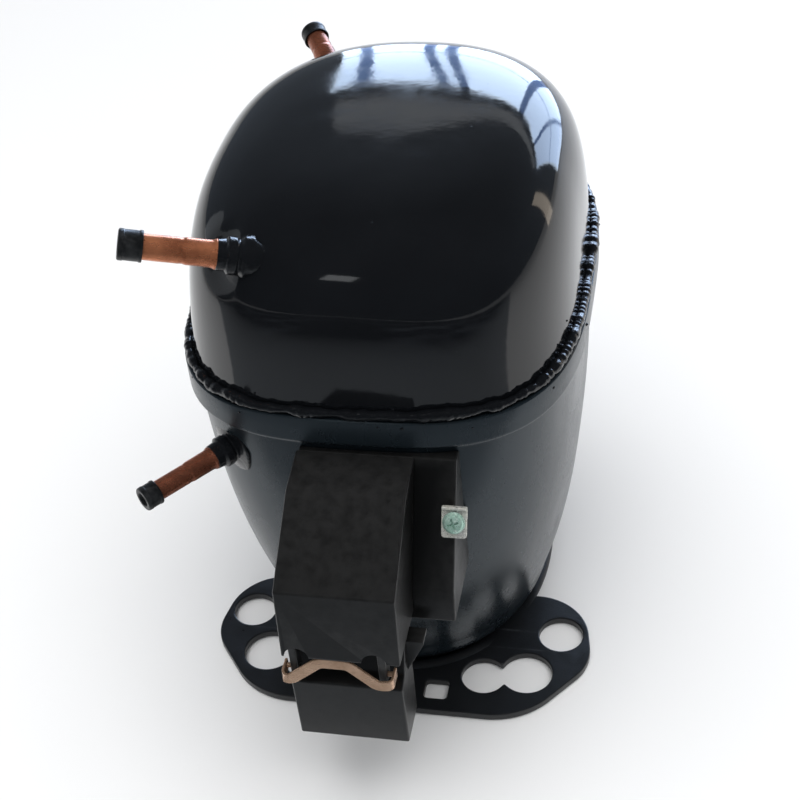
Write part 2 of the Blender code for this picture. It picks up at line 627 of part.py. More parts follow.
def cylinder_head():
    outline = head_outline(*HEAD_HALF, 0.005)
    window = head_outline(0.0140, 0.0130, 0.003)
    plate = prism("valve_plate", outline, 0.0623, 0.0653, "Y", "steel")
    gasket = prism("head_gasket", outline, 0.0656, 0.0664, "Y", "gasket")
    head = prism("cylinder_head", outline, 0.0667, 0.0790, "Y", "aluminium")
    cut(gasket, prism("gasket_window", window, 0.0600, 0.0700, "Y", "steel"))
    cut(head, prism("head_core", window, 0.0600, 0.0760, "Y", "steel"))
    for x in (-0.0060, 0.0060):
        cut_round(plate, 0.0020, (x, 0.0640, CYLINDER_Z), (0, 1, 0), 0.010, 8)
    for index, (i, j) in enumerate(((-1, -1), (1, -1), (1, 1), (-1, 1))):
        at = (i * HEAD_SCREW[0], 0.0700, CYLINDER_Z + j * HEAD_SCREW[1])
        for piece in (plate, gasket, head):
            cut_round(piece, 0.0023, at, (0, 1, 0), 0.040, 8)
        screw = turned("head_screw_%d" % (index + 1), [(0, 0.0125), (0.0036, 0.0125), (0.0040, 0.0120),
                                                       (0.0040, 0.0093), (0.0020, 0.0093), (0.0020, -0.0170),
                                                       (0, -0.0170)], "steel", 8)
        place(screw, at, (0, 1, 0))


def reed(name, root_x, sign, low_y):
    """A thin valve leaf. It lies along X from its root, and its origin is on the root's bending line."""
    tip = sign * 0.0170
    ends = sorted((0.0, tip))
    outline = rounded([(ends[0], -0.0030, 0.0025), (ends[1], -0.0030, 0.0025), (ends[1], 0.0030, 0.0025),
                       (ends[0], 0.0030, 0.0025)], 4)
    leaf = prism(name, outline, 0.0, 0.0004, "Y", "steel")
    leaf.location = (root_x, low_y, CYLINDER_Z)
    return leaf


def suction_muffler():
    body = block("suction_muffler", (0.0270, 0.0060, 0.1110), (0.0540, 0.0560, 0.1600), "muffler_plastic", 0.0060, 2)
    neck = turned("muffler_neck", [(0, 0), (0.0060, 0), (0.0050, 0.0120), (0, 0.0120)], "muffler_plastic", 14)
    join(body, place(neck, (0.0410, 0.0300, 0.1590), (0, 0, 1)))
    return body


def curve_tube(name, points, radius, finish_name, resolution=1):
    """A round tube along a smooth run through the points."""
    count = len(points)
    smooth = []
    for i in range(count - 1):
        p0, p1, p2, p3 = (Vector(points[max(0, min(count - 1, i + k))]) for k in (-1, 0, 1, 2))
        for step in range(3):
            t = step / 3
            smooth.append(0.5 * (2 * p1 + (p2 - p0) * t + (2 * p0 - 5 * p1 + 4 * p2 - p3) * t * t
                                 + (3 * p1 - p0 - 3 * p2 + p3) * t**3))
    smooth.append(Vector(points[-1]))
    curve = bpy.data.curves.new(name, "CURVE")
    curve.dimensions = "3D"
    curve.bevel_depth = radius
    curve.bevel_resolution = resolution
    curve.use_fill_caps = True
    spline = curve.splines.new("POLY")
    spline.points.add(len(smooth) - 1)
    for point, where in zip(spline.points, smooth):
        point.co = (*where, 1)
    curve.materials.append(material(finish_name))
    obj = bpy.data.objects.new(name, curve)
    bpy.context.scene.collection.objects.link(obj)
    return obj


def discharge_loop():
    """The springy pipe from the discharge muffler to the casing's outlet."""
    foot = Vector(STUBS["discharge"]["foot"])
    way = Vector(STUBS["discharge"]["way"]).normalized()
    end = foot - way * (STUB_INSIDE + 0.0010)
    turned_in = foot - way * (STUB_INSIDE + 0.0080)
    points = [(-0.0390, 0.0330, 0.1525), (-0.0390, 0.0330, 0.1580), (-0.0420, 0.0250, 0.1640),
              (-0.0500, 0.0000, 0.1640), (-0.0460, -0.0300, 0.1600), (-0.0250, -0.0560, 0.1540),
              (0.0050, -0.0640, 0.1480), (0.0200, -0.0600, 0.1400), (0.0130, -0.0560, 0.1330),
              (-0.0150, -0.0600, 0.1290), tuple(turned_in), tuple(end)]
    return curve_tube("discharge_loop", points, 0.0020, "copper")


def discharge_muffler():
    profile = [(0, 0.1104), (0.0125, 0.1104), (0.0135, 0.1120), (0.0135, 0.1400), (0.0100, 0.1480), (0.0035, 0.1515),
               (0, 0.1520)]
    return place(turned("discharge_muffler", profile, "steel", 20), (-0.0390, 0.0330, 0))


def suspension():
    """Four coil springs between studs on the casing's floor and the stator's corners."""
    low = 0.0122
    high = STATOR_Z[0] - 0.0003
    steps = SPRING_TURNS * 9
    rise = high - low - 2 * SPRING_WIRE
    for index, (i, j) in enumerate(((-1, -1), (1, -1), (1, 1), (-1, 1))):
        rings = []
        for step in range(steps + 1):
            turn = 2 * math.pi * SPRING_TURNS * step / steps
            out = Vector((math.cos(turn), math.sin(turn), 0))
            centre = out * SPRING_RADIUS + Vector((0, 0, low + SPRING_WIRE + rise * step / steps))
            sides = [2 * math.pi * k / 4 for k in range(4)]
            rings.append([centre + (out * math.cos(a) + Vector((0, 0, 1)) * math.sin(a)) * SPRING_WIRE
                          for a in sides])
        spring = skin("suspension_spring_%d" % (index + 1), rings, "steel")
        place(spring, (i * BOLT_X, j * BOLT_Y, 0))
    corners = [(i * 0.0325, j * 0.0385, 0.012) for i, j in ((-1, -1), (1, -1), (1, 1), (-1, 1))]
    mount = prism("spring_mount", rounded(corners, 3), 0.0080, 0.0100, "Z", "steel")
    corners = [(i * 0.0190, j * 0.0260, 0.010) for i, j in ((-1, -1), (1, -1), (1, 1), (-1, 1))]
    cut(mount, prism("mount_window", rounded(corners, 3), 0.000, 0.020, "Z", "steel"))
    stud = [(0, 0.0092), (0.0062, 0.0092), (0.0074, 0.0119), (0.0048, 0.0119), (0.0044, 0.0260), (0.0034, 0.0280),
            (0, 0.0280)]
    for i, j in ((-1, -1), (1, -1), (1, 1), (-1, 1)):
        join(mount, place(turned("mount_stud", stud, "steel", 12), (i * BOLT_X, j * BOLT_Y, 0)))


def main():
    clear_scene()
    base_plate()
    lower_shell()
    upper_shell()
    weld_bead()
    for name, stub in STUBS.items():
        pipe_stub(name, stub)
    terminal()
    terminal_box()
    cord_box()
    terminal_cover()
    cord_clip()
    electrical_parts()
    earth_parts()
    stator()
    rotor()
    crankshaft()
    crankcase()
    piston_group()
    cylinder_head()
    reed("suction_reed", -0.0085, 1, 0.0615)
    reed("discharge_reed", 0.0085, -1, 0.0657)
    suction_muffler()
    discharge_muffler()
    discharge_loop()
    suspension()


main()
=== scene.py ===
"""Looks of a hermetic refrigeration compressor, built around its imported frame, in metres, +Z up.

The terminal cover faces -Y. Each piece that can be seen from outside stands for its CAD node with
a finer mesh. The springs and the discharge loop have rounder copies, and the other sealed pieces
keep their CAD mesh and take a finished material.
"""

import json
import math
import random

import bmesh
import bpy
from mathutils import Matrix, Vector, noise
from mathutils.geometry import tessellate_polygon

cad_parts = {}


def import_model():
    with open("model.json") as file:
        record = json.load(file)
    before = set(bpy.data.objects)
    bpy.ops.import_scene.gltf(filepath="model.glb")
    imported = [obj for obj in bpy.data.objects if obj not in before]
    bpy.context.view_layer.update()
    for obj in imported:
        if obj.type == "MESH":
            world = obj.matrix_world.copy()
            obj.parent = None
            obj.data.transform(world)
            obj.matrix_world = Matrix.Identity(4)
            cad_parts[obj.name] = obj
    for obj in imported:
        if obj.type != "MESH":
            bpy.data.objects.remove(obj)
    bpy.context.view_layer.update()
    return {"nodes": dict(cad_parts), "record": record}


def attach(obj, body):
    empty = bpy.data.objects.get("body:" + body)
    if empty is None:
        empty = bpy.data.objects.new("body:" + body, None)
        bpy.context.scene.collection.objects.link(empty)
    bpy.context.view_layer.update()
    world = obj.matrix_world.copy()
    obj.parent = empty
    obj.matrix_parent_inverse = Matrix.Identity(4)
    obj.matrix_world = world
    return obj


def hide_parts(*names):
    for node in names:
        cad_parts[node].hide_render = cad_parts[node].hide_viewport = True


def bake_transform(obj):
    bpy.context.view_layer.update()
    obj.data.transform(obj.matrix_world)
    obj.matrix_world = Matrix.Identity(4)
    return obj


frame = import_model()

# Camera
CAMERA_AT = (0.1220, -0.5086, 0.5111)
CAMERA_YAW = math.radians(14.037)
CAMERA_PITCH = math.radians(38.833)
CAMERA_ROLL = math.radians(-5.717)
CAMERA_LENS = 69.31
SENSOR = 36.0

# Casing
CASE_X = 0.0760
CASE_Y = 0.0950
CASE_POWER = 3.2
CROWN_POWER = 2.25
WALL = 0.0030
GAP = 0.0003
SEAM_Z = 0.1590
CROWN_HEIGHT = 0.0695
SKIRT_Z = 0.1488
COLLAR_STEP = 0.0032
COLLAR_Z = 0.1475
NECK_Z = 0.1455
FOOT_X = 0.0560
FOOT_Y = 0.0750
FOOT_POWER = 2.1
FOOT_Z = 0.0038
CASE_SIDES = 288

# Base plate: corners are (x, y, radius) of the right half, and holes are (x, y, radius)
PLATE_THICKNESS = 0.0035
PLATE_EDGE = 0.0006
REAR_CORNER = (0.0500, 0.0960, 0.0140)
WAIST = (0.0500, -0.0290, 0.0008)
EAR_CORNER = (0.0780, -0.0290, 0.0240)
FRONT_CORNERS = ((0.0840, -0.0660, 0.0220), (0.0580, -0.0990, 0.0330))
EAR_HOLE = (0.0694, -0.0510, 0.0095)
LOBE_HOLE = (0.0570, -0.0743, 0.0110)
SMALL_LOBE = (0.0391, -0.0778, 0.0096)
SQUARE_HOLE = (0.0201, -0.0876, 0.0050)
REAR_HOLE = (0.0360, 0.0820, 0.0095)

# Pipe stubs: foot on the casing, direction, bare length, tube and sleeve radius
STUBS = {
    "suction": {"foot": (-0.0381, -0.0771, 0.2144), "way": (-0.919, -0.282, 0.274), "length": 0.0406,
                "radius": 0.0049, "sleeve": 0.0070, "boss": 0.0083, "cap_length": 0.0082},
    "discharge": {"foot": (-0.0529, -0.0834, 0.1303), "way": (-0.640, -0.768, -0.038), "length": 0.0382,
                  "radius": 0.0041, "sleeve": 0.0062, "boss": 0.0113, "cap_length": 0.0060},
    "process": {"foot": (-0.0405, 0.0873, 0.1974), "way": (-0.490, 0.832, 0.261), "length": 0.0322,
                "radius": 0.0049, "sleeve": 0.0068, "boss": 0.0083, "cap_length": 0.0056},
}
STUB_WALL = 0.0010
STUB_INSIDE = 0.0120
CAP_WALL = 0.0005
PRESS_FLAT = 0.0090
PRESS_REACH = 0.0190
PRESS_SHARE = 0.32

# Terminal box, cover and cord box: profiles are (y, z)
TERMINAL_Z = 0.1120
TERMINAL_RADIUS = 0.0150
BOX_X = (-0.0215, 0.0380)
BOX_PROFILE = ((-0.0860, 0.1430), (-0.0970, 0.1430), (-0.1200, 0.0985), (-0.1210, 0.0830), (-0.0860, 0.0830))
BOX_WALL = 0.0020
BOX_WINDOW_X = (-0.0175, 0.0175)
BOX_WINDOW_Z = (0.0900, 0.1340)
COVER_X = (-0.0220, 0.0225)
COVER_PROFILE = ((-0.0978, 0.1440), (-0.1160, 0.1405), (-0.1475, 0.1195), (-0.1500, 0.0885),
                 (-0.1220, 0.0885), (-0.1208, 0.0990))
NOTCH_X = (-0.0163, 0.0128)
NOTCH_RADIUS = 0.0048
LUG_X = (-0.0190, 0.0145)
LUG_Z = 0.0735
CORD_BOX_X = (-0.0225, 0.0205)
CORD_BOX_PROFILE = ((-0.1020, 0.0824), (-0.1020, 0.0796), (-0.1240, 0.0796), (-0.1240, 0.0355),
                    (-0.1418, 0.0355), (-0.1430, 0.0672), (-0.1375, 0.0700), (-0.1330, 0.0824))
CLIP_AXIS = (-0.1438, 0.0772)
CLIP_THICKNESS = 0.0010
CLIP_WIDTH = 0.0048
CLIP_FRONT = -0.0050
EARTH_AT = (0.03825, -0.1076, 0.1236)
BOX_SLOPE = (0.0, -0.0415, 0.0210)
FLAT_SIDED = ("base_plate", "terminal_box", "terminal_cover", "cord_box", "cord_clip", "earth_bracket")


# ---------------------------------------------------------------- materials

def blank_material(name, colour, roughness, metallic=0.0):
    made = bpy.data.materials.new(name)
    made.use_nodes = True
    shader = made.node_tree.nodes["Principled BSDF"]
    shader.inputs["Base Color"].default_value = (*colour, 1)
    shader.inputs["Roughness"].default_value = roughness
    shader.inputs["Metallic"].default_value = metallic
    return made, made.node_tree, shader


def place_vector(tree, stretch=(1, 1, 1), turn=(0, 0, 0)):
    """Object coordinates, stretched and turned."""
    coords = tree.nodes.new("ShaderNodeTexCoord")
    mapping = tree.nodes.new("ShaderNodeMapping")
    mapping.inputs["Scale"].default_value = stretch
    mapping.inputs["Rotation"].default_value = turn
    tree.links.new(coords.outputs["Object"], mapping.inputs["Vector"])
    return mapping.outputs["Vector"]


def noise_fac(tree, scale, detail=4.0, rough=0.5, stretch=(1, 1, 1), turn=(0, 0, 0)):
    node = tree.nodes.new("ShaderNodeTexNoise")
    node.inputs["Scale"].default_value = scale
    node.inputs["Detail"].default_value = detail
    node.inputs["Roughness"].default_value = rough
    tree.links.new(place_vector(tree, stretch, turn), node.inputs["Vector"])
    return node.outputs["Fac"]


def cells(tree, scale, feature="F1", output="Distance"):
    node = tree.nodes.new("ShaderNodeTexVoronoi")
    node.feature = feature
    node.inputs["Scale"].default_value = scale
    tree.links.new(place_vector(tree), node.inputs["Vector"])
    return node.outputs[output]


def bands(tree, scale, axis, distortion=0.0):
    node = tree.nodes.new("ShaderNodeTexWave")
    node.bands_direction = axis
    node.inputs["Scale"].default_value = scale
    node.inputs["Distortion"].default_value = distortion
    tree.links.new(place_vector(tree), node.inputs["Vector"])
    return node.outputs["Fac"]


def edge_fac(tree, low=0.52, high=0.60):
    """1 along sharp outer edges, 0 on flat faces: worn edges, and on moulded plastic a painted highlight."""
    geometry = tree.nodes.new("ShaderNodeNewGeometry")
    return remap(tree, geometry.outputs["Pointiness"], low, high, 0, 1)


def remap(tree, source, low, high, to_low, to_high):
    node = tree.nodes.new("ShaderNodeMapRange")
    node.inputs["From Min"].default_value = low
    node.inputs["From Max"].default_value = high
    node.inputs["To Min"].default_value = to_low
    node.inputs["To Max"].default_value = to_high
    tree.links.new(source, node.inputs["Value"])
    return node.outputs["Result"]


def maths(tree, operation, first, second):
    node = tree.nodes.new("ShaderNodeMath")
    node.operation = operation
    for socket, value in zip(node.inputs, (first, second)):
        if isinstance(value, (int, float)):
            socket.default_value = value
        else:
            tree.links.new(value, socket)
    return node.outputs["Value"]


def blend_colour(tree, factor, first, second):
    """Mixes two colours, each a tuple or another node's output."""
    node = tree.nodes.new("ShaderNodeMix")
    node.data_type = "RGBA"
    tree.links.new(factor, node.inputs["Factor"])
    for socket, value in ((node.inputs[6], first), (node.inputs[7], second)):
        if isinstance(value, tuple):
            socket.default_value = (*value, 1)
        else:
            tree.links.new(value, socket)
    return node.outputs[2]


def bump(tree, shader, *layers):
    """Stacks bumps, each (height output, distance in metres, strength)."""
    normal = None
    for height, distance, strength in layers:
        node = tree.nodes.new("ShaderNodeBump")
        node.inputs["Distance"].default_value = distance
        node.inputs["Strength"].default_value = strength
        tree.links.new(height, node.inputs["Height"])
        if normal:
            tree.links.new(normal, node.inputs["Normal"])
        normal = node.outputs["Normal"]
    tree.links.new(normal, shader.inputs["Normal"])


def enamel(name, rough=(0.04, 0.12), lumpy=False, tone=((0.0030, 0.0034, 0.0042), (0.0075, 0.0084, 0.0100))):
    """Thick stoved black enamel: gloss with orange peel, dust nibs and faint handling smears."""
    made, tree, shader = blank_material(name, (0.006, 0.007, 0.009), 0.12)
    shader.inputs["Specular IOR Level"].default_value = 0.55
    cloud = noise_fac(tree, 22, 5, 0.6)
    smear = noise_fac(tree, 60, 6, 0.65, stretch=(1, 1, 0.35))
    colour = blend_colour(tree, cloud, *tone)
    nibs = remap(tree, cells(tree, 240), 0.030, 0.045, 1, 0)
    sparse = remap(tree, noise_fac(tree, 45, 2), 0.60, 0.64, 0, 1)
    specks = maths(tree, "MULTIPLY", nibs, sparse)
    tree.links.new(blend_colour(tree, specks, colour, (0.060, 0.062, 0.066)), shader.inputs["Base Color"])
    gloss = remap(tree, smear, 0.35, 0.75, *rough)
    dull = maths(tree, "MULTIPLY", specks, 0.4)
    tree.links.new(maths(tree, "ADD", gloss, dull), shader.inputs["Roughness"])
    peel = noise_fac(tree, 380, 2, 0.45)
    sag = noise_fac(tree, 42, 2, 0.4, stretch=(1, 1, 0.6))
    layers = [(sag, 0.0010, 0.05), (peel, 0.0003, 0.04), (specks, 0.0004, 0.5)]
    if lumpy:
        layers.append((noise_fac(tree, 520, 3, 0.55), 0.0006, 0.40))
    bump(tree, shader, *layers)
    return made


def satin_enamel():
    """Thinner black enamel on the stamped plate, duller, with rubbed edges and settled dust."""
    made, tree, shader = blank_material("plate_enamel", (0.009, 0.010, 0.012), 0.4)
    cloud = noise_fac(tree, 30, 6, 0.6)
    colour = blend_colour(tree, cloud, (0.0055, 0.0060, 0.0072), (0.0130, 0.0140, 0.0155))
    edges = edge_fac(tree, 0.53, 0.62)
    uneven = remap(tree, noise_fac(tree, 160, 5, 0.7), 0.40, 0.62, 0.15, 0.9)
    paler_edge_mask = maths(tree, "MULTIPLY", edges, uneven)
    tree.links.new(blend_colour(tree, paler_edge_mask, colour, (0.055, 0.060, 0.066)), shader.inputs["Base Color"])
    tree.links.new(remap(tree, noise_fac(tree, 90, 6, 0.7), 0.3, 0.7, 0.26, 0.44), shader.inputs["Roughness"])
    bump(tree, shader, (noise_fac(tree, 260, 4, 0.6), 0.0004, 0.18), (noise_fac(tree, 1500, 2), 0.0002, 0.15))
    return made


def moulding(name, dark, light, grain=0.2):
    """Moulded plastic with a fine spark-eroded grain and paler edges: rubbed wear and a painted highlight."""
    made, tree, shader = blank_material(name, light, 0.45)
    shader.inputs["Specular IOR Level"].default_value = 0.45
    cloud = noise_fac(tree, 26, 5, 0.55)
    colour = blend_colour(tree, cloud, dark, light)
    pale = tuple(min(c * 3.0 + 0.006, c + 0.060) for c in light)
    # The paler edges are partly rubbed wear and partly a painted highlight along the edges.
    edges = edge_fac(tree, 0.515, 0.60)
    uneven = remap(tree, noise_fac(tree, 220, 4, 0.7), 0.3, 0.6, 0.3, 1.0)
    paler_edge_mask = maths(tree, "MULTIPLY", edges, uneven)
    dust = remap(tree, noise_fac(tree, 620, 6, 0.75), 0.66, 0.86, 0, 0.25)
    colour = blend_colour(tree, paler_edge_mask, colour, tuple(c * 1.8 for c in pale))
    tree.links.new(blend_colour(tree, dust, colour, pale), shader.inputs["Base Color"])
    haze = remap(tree, noise_fac(tree, 120, 5, 0.7), 0.3, 0.7, 0.30, 0.40)
    tree.links.new(haze, shader.inputs["Roughness"])
    bump(tree, shader, (noise_fac(tree, 75, 3), 0.0004, 0.04), (noise_fac(tree, 1900, 3, 0.6), 0.0002, grain))
    return made


def copper(name, bright, dull, drawn=(1, 1, 1)):
    """Drawn copper: fine lengthways lines, patchy tarnish and darker heat marks."""
    made, tree, shader = blank_material(name, bright, 0.3, 0.75)
    tarnish = remap(tree, noise_fac(tree, 95, 6, 0.65), 0.38, 0.66, 0, 1)
    spots = remap(tree, noise_fac(tree, 520, 5, 0.7), 0.58, 0.74, 0, 0.35)
    colour = blend_colour(tree, tarnish, bright, dull)
    brown = tuple(c * 0.45 for c in dull)
    tree.links.new(blend_colour(tree, spots, colour, brown), shader.inputs["Base Color"])
    lines = noise_fac(tree, 420, 3, 0.6, stretch=drawn)
    rough = maths(tree, "ADD", remap(tree, lines, 0.3, 0.7, 0.20, 0.36), maths(tree, "MULTIPLY", spots, 0.25))
    tree.links.new(rough, shader.inputs["Roughness"])
    bump(tree, shader, (lines, 0.0002, 0.25), (noise_fac(tree, 150, 4, 0.5), 0.0004, 0.10))
    return made


def rubber():
    """Moulded rubber: matt, with bloom on the raised edges and specks of dust."""
    made, tree, shader = blank_material("cap_rubber", (0.010, 0.011, 0.012), 0.5)
    bloom = remap(tree, noise_fac(tree, 240, 6, 0.7), 0.42, 0.75, 0, 0.7)
    worn = maths(tree, "MAXIMUM", bloom, edge_fac(tree, 0.53, 0.64))
    colour = blend_colour(tree, worn, (0.0045, 0.0050, 0.0055), (0.032, 0.034, 0.036))
    tree.links.new(colour, shader.inputs["Base Color"])
    tree.links.new(remap(tree, bloom, 0, 0.7, 0.33, 0.58), shader.inputs["Roughness"])
    bump(tree, shader, (noise_fac(tree, 1300, 4, 0.6), 0.0002, 0.25), (noise_fac(tree, 300, 2), 0.0003, 0.12))
    return made


def metal(name, dark, light, rough=(0.25, 0.45), grain=900, stretch=(1, 1, 1), relief=0.2, metallic=1.0):
    """Bare or plated metal with a grain, fine scratches and uneven tone."""
    made, tree, shader = blank_material(name, light, sum(rough) / 2, metallic)
    tone = noise_fac(tree, 130, 6, 0.65)
    stain = remap(tree, noise_fac(tree, 40, 5, 0.6), 0.5, 0.75, 0, 0.6)
    colour = blend_colour(tree, tone, dark, light)
    stained = tuple(c * 0.6 for c in dark)
    tree.links.new(blend_colour(tree, stain, colour, stained), shader.inputs["Base Color"])
    fine = noise_fac(tree, grain, 4, 0.6, stretch=stretch)
    tree.links.new(remap(tree, fine, 0.3, 0.7, *rough), shader.inputs["Roughness"])
    bump(tree, shader, (fine, 0.0002, relief), (noise_fac(tree, 240, 3), 0.0003, relief * 0.5))
    return made


def plated(name, dark, light, tint):
    """Zinc plating with its small spangle and a tinted passivation film."""
    made, tree, shader = blank_material(name, light, 0.28, 0.55)
    film = remap(tree, noise_fac(tree, 260, 5, 0.6), 0.40, 0.62, 0, 1)
    spangle = cells(tree, 1100)
    colour = blend_colour(tree, remap(tree, spangle, 0.1, 0.7, 0, 1), light, dark)
    tree.links.new(blend_colour(tree, film, colour, tint), shader.inputs["Base Color"])
    haze = remap(tree, noise_fac(tree, 700, 4, 0.7), 0.3, 0.7, 0.20, 0.42)
    tree.links.new(haze, shader.inputs["Roughness"])
    bump(tree, shader, (spangle, 0.0002, 0.10), (noise_fac(tree, 900, 3), 0.0002, 0.18))
    return made


def laminations():
    """The stacked edges of punched steel sheets."""
    made, tree, shader = blank_material("stacked_steel", (0.30, 0.31, 0.34), 0.4, 0.9)
    layers = bands(tree, 320, "Z")
    colour = blend_colour(tree, layers, (0.10, 0.10, 0.12), (0.34, 0.35, 0.38))
    tree.links.new(colour, shader.inputs["Base Color"])
    tree.links.new(remap(tree, noise_fac(tree, 300, 5), 0.3, 0.7, 0.3, 0.55), shader.inputs["Roughness"])
    bump(tree, shader, (layers, 0.0002, 0.4), (noise_fac(tree, 600, 3), 0.0002, 0.2))
    return made


def wound_wire():
    """Varnished winding wire, laid round the motor's end."""
    made, tree, shader = blank_material("wound_wire", (0.45, 0.17, 0.08), 0.3, 0.7)
    turns = bands(tree, 150, "DIAGONAL", 1.5)
    colour = blend_colour(tree, turns, (0.13, 0.035, 0.015), (0.50, 0.20, 0.09))
    tree.links.new(colour, shader.inputs["Base Color"])
    tree.links.new(remap(tree, noise_fac(tree, 200, 4), 0.3, 0.7, 0.18, 0.4), shader.inputs["Roughness"])
    bump(tree, shader, (turns, 0.0006, 0.7))
    return made


def seal_glass():
    made, tree, shader = blank_material("seal_glass", (0.08, 0.26, 0.18), 0.08)
    shader.inputs["Coat Weight"].default_value = 0.5
    colour = blend_colour(tree, noise_fac(tree, 300, 4), (0.04, 0.16, 0.11), (0.12, 0.34, 0.24))
    tree.links.new(colour, shader.inputs["Base Color"])
    tree.links.new(remap(tree, noise_fac(tree, 500, 3), 0.3, 0.7, 0.05, 0.16), shader.inputs["Roughness"])
    bump(tree, shader, (noise_fac(tree, 350, 2), 0.0002, 0.2))
    return made


ENAMEL = enamel("gloss_enamel")
# Painted bluish light: the lower casing gets a paler, bluer copy of the same black enamel, gloss tinted blue.
BLUISH_LIT_ENAMEL = enamel("bluish_lit_enamel", (0.24, 0.34), tone=((0.0050, 0.0075, 0.0095), (0.0100, 0.0150, 0.0190)))
BLUISH_LIT_ENAMEL.node_tree.nodes["Principled BSDF"].inputs["Specular Tint"].default_value = (0.78, 0.90, 1.0, 1)
WELD_ENAMEL = enamel("weld_enamel", (0.10, 0.24), lumpy=True)
BLACK_MOULDING = moulding("black_moulding", (0.0028, 0.0029, 0.0030), (0.0042, 0.0042, 0.0042), 0.08)
TUBE_COPPER = copper("drawn_copper", (0.68, 0.255, 0.125), (0.40, 0.135, 0.066), drawn=(0.12, 1, 1))
DARK_COPPER = copper("tarnished_copper", (0.40, 0.140, 0.080), (0.20, 0.072, 0.042), drawn=(0.12, 1, 1))
STRAP_COPPER = copper("strap_copper", (0.64, 0.43, 0.30), (0.46, 0.29, 0.19), drawn=(0.12, 1, 1))
ZINC = plated("zinc_plate", (0.60, 0.60, 0.57), (0.92, 0.92, 0.88), (0.80, 0.79, 0.70))
GREEN_ZINC = plated("green_passivate", (0.38, 0.58, 0.50), (0.74, 0.88, 0.80), (0.40, 0.62, 0.52))
STEEL = metal("machined_steel", (0.36, 0.37, 0.39), (0.62, 0.63, 0.65), (0.18, 0.36))
SLOT_FINISH = {
    "black_paint": ENAMEL,
    "plate_paint": satin_enamel(),
    "copper": TUBE_COPPER,
    "black_rubber": rubber(),
    "black_plastic": BLACK_MOULDING,
    "grey_plastic": moulding("grey_phenolic", (0.34, 0.34, 0.31), (0.52, 0.52, 0.48), 0.3),
    "zinc": ZINC,
    "green_zinc": GREEN_ZINC,
    "steel": STEEL,
    "cast_iron": metal("cast_iron", (0.07, 0.07, 0.075), (0.19, 0.19, 0.20), (0.45, 0.7), 650, relief=0.6),
    "lamination": laminations(),
    "winding": wound_wire(),
    "aluminium": metal("cast_aluminium", (0.52, 0.53, 0.55), (0.78, 0.79, 0.81), (0.3, 0.5), 500,
                       relief=0.35),
    "glass": seal_glass(),
    "gasket": moulding("gasket_sheet", (0.05, 0.055, 0.06), (0.09, 0.10, 0.11), 0.6),
    "muffler_plastic": moulding("natural_plastic", (0.62, 0.60, 0.52), (0.80, 0.78, 0.70), 0.15),
}


# ---------------------------------------------------------------- mesh tools

def smooth(share):
    share = min(1.0, max(0.0, share))
    return share * share * (3 - 2 * share)


def add_skin(bm, rings, closed=False, caps=True):
    """Joins rings of points in order. A ring of one point is a pole, and open ends get a flat cap."""
    rows = [[bm.verts.new(point) for point in ring] for ring in rings]
    pairs = list(zip(rows, rows[1:]))
    if closed:
        pairs.append((rows[-1], rows[0]))
    for low, high in pairs:
        count = max(len(low), len(high))
        for i in range(count):
            j = (i + 1) % count
            corners = [low[i % len(low)], low[j % len(low)], high[j % len(high)], high[i % len(high)]]
            bm.faces.new(list(dict.fromkeys(corners)))
    if caps and not closed:
        for row in (rows[0], rows[-1]):
            if len(row) > 2:
                bm.faces.new(row)


def to_object(name, bm, sharp=35, weld=1e-6):
    bmesh.ops.remove_doubles(bm, verts=bm.verts, dist=weld)
    bmesh.ops.recalc_face_normals(bm, faces=bm.faces)
    mesh = bpy.data.meshes.new(name)
    bm.to_mesh(mesh)
    bm.free()
    obj = bpy.data.objects.new(name, mesh)
    bpy.context.scene.collection.objects.link(obj)
    shade(obj, sharp)
    return obj


def shade(obj, sharp=35):
    obj.data.shade_smooth()
    obj.data.set_sharp_from_angle(angle=math.radians(sharp))


def keep_flats_flat(obj):
    """Lets large faces set the shading, so only the rounded edges look round."""
    modifier = obj.modifiers.new("Weighted normals", "WEIGHTED_NORMAL")
    modifier.keep_sharp = True
    modifier.weight = 100


def frame_on(location, way):
    """A matrix that puts +Z along a direction at a place."""
    turn = Vector((0, 0, 1)).rotation_difference(Vector(way)).to_matrix().to_4x4()
    return Matrix.Translation(location) @ turn


def circle(radius, z, sides):
    if radius == 0:
        return [Vector((0, 0, z))]
    angles = [2 * math.pi * i / sides for i in range(sides)]
    return [Vector((radius * math.cos(a), radius * math.sin(a), z)) for a in angles]


def soften(corners, steps=6, closed=True):
    """An outline with an arc at each corner, where a corner is (a, b, radius)."""
    points = []
    count = len(corners)
    for i, (a, b, radius) in enumerate(corners):
        if radius == 0 or (not closed and i in (0, count - 1)):
            points.append((a, b))
            continue
        here = Vector((a, b))
        before = (Vector(corners[i - 1][:2]) - here).normalized()
        after = (Vector(corners[(i + 1) % count][:2]) - here).normalized()
        half = before.angle(after) / 2
        centre = here + (before + after).normalized() * (radius / math.sin(half))
        start = here + before * (radius / math.tan(half)) - centre
        end = here + after * (radius / math.tan(half)) - centre
        turn = start.angle_signed(end)
        for step in range(steps + 1):
            spot = centre + Matrix.Rotation(-turn * step / steps, 2) @ start
            points.append((spot.x, spot.y))
    return points


def wound(points, anticlockwise=True):
    """The same outline, running the way asked for."""
    area = sum(p[0] * q[1] - q[0] * p[1] for p, q in zip(points, points[1:] + points[:1]))
    return points if (area > 0) == anticlockwise else points[::-1]


def inset(points, depth):
    """A closed outline moved to its left by a depth, which is inwards if it runs anticlockwise."""
    moved = []
    for i, corner in enumerate(points):
        here = Vector(corner)
        before = (here - Vector(points[i - 1])).normalized()
        after = (Vector(points[(i + 1) % len(points)]) - here).normalized()
        side = Vector((-before.y - after.y, before.x + after.x))
        moved.append(tuple(here + side * (depth / (1 + before.dot(after)))))
    return moved


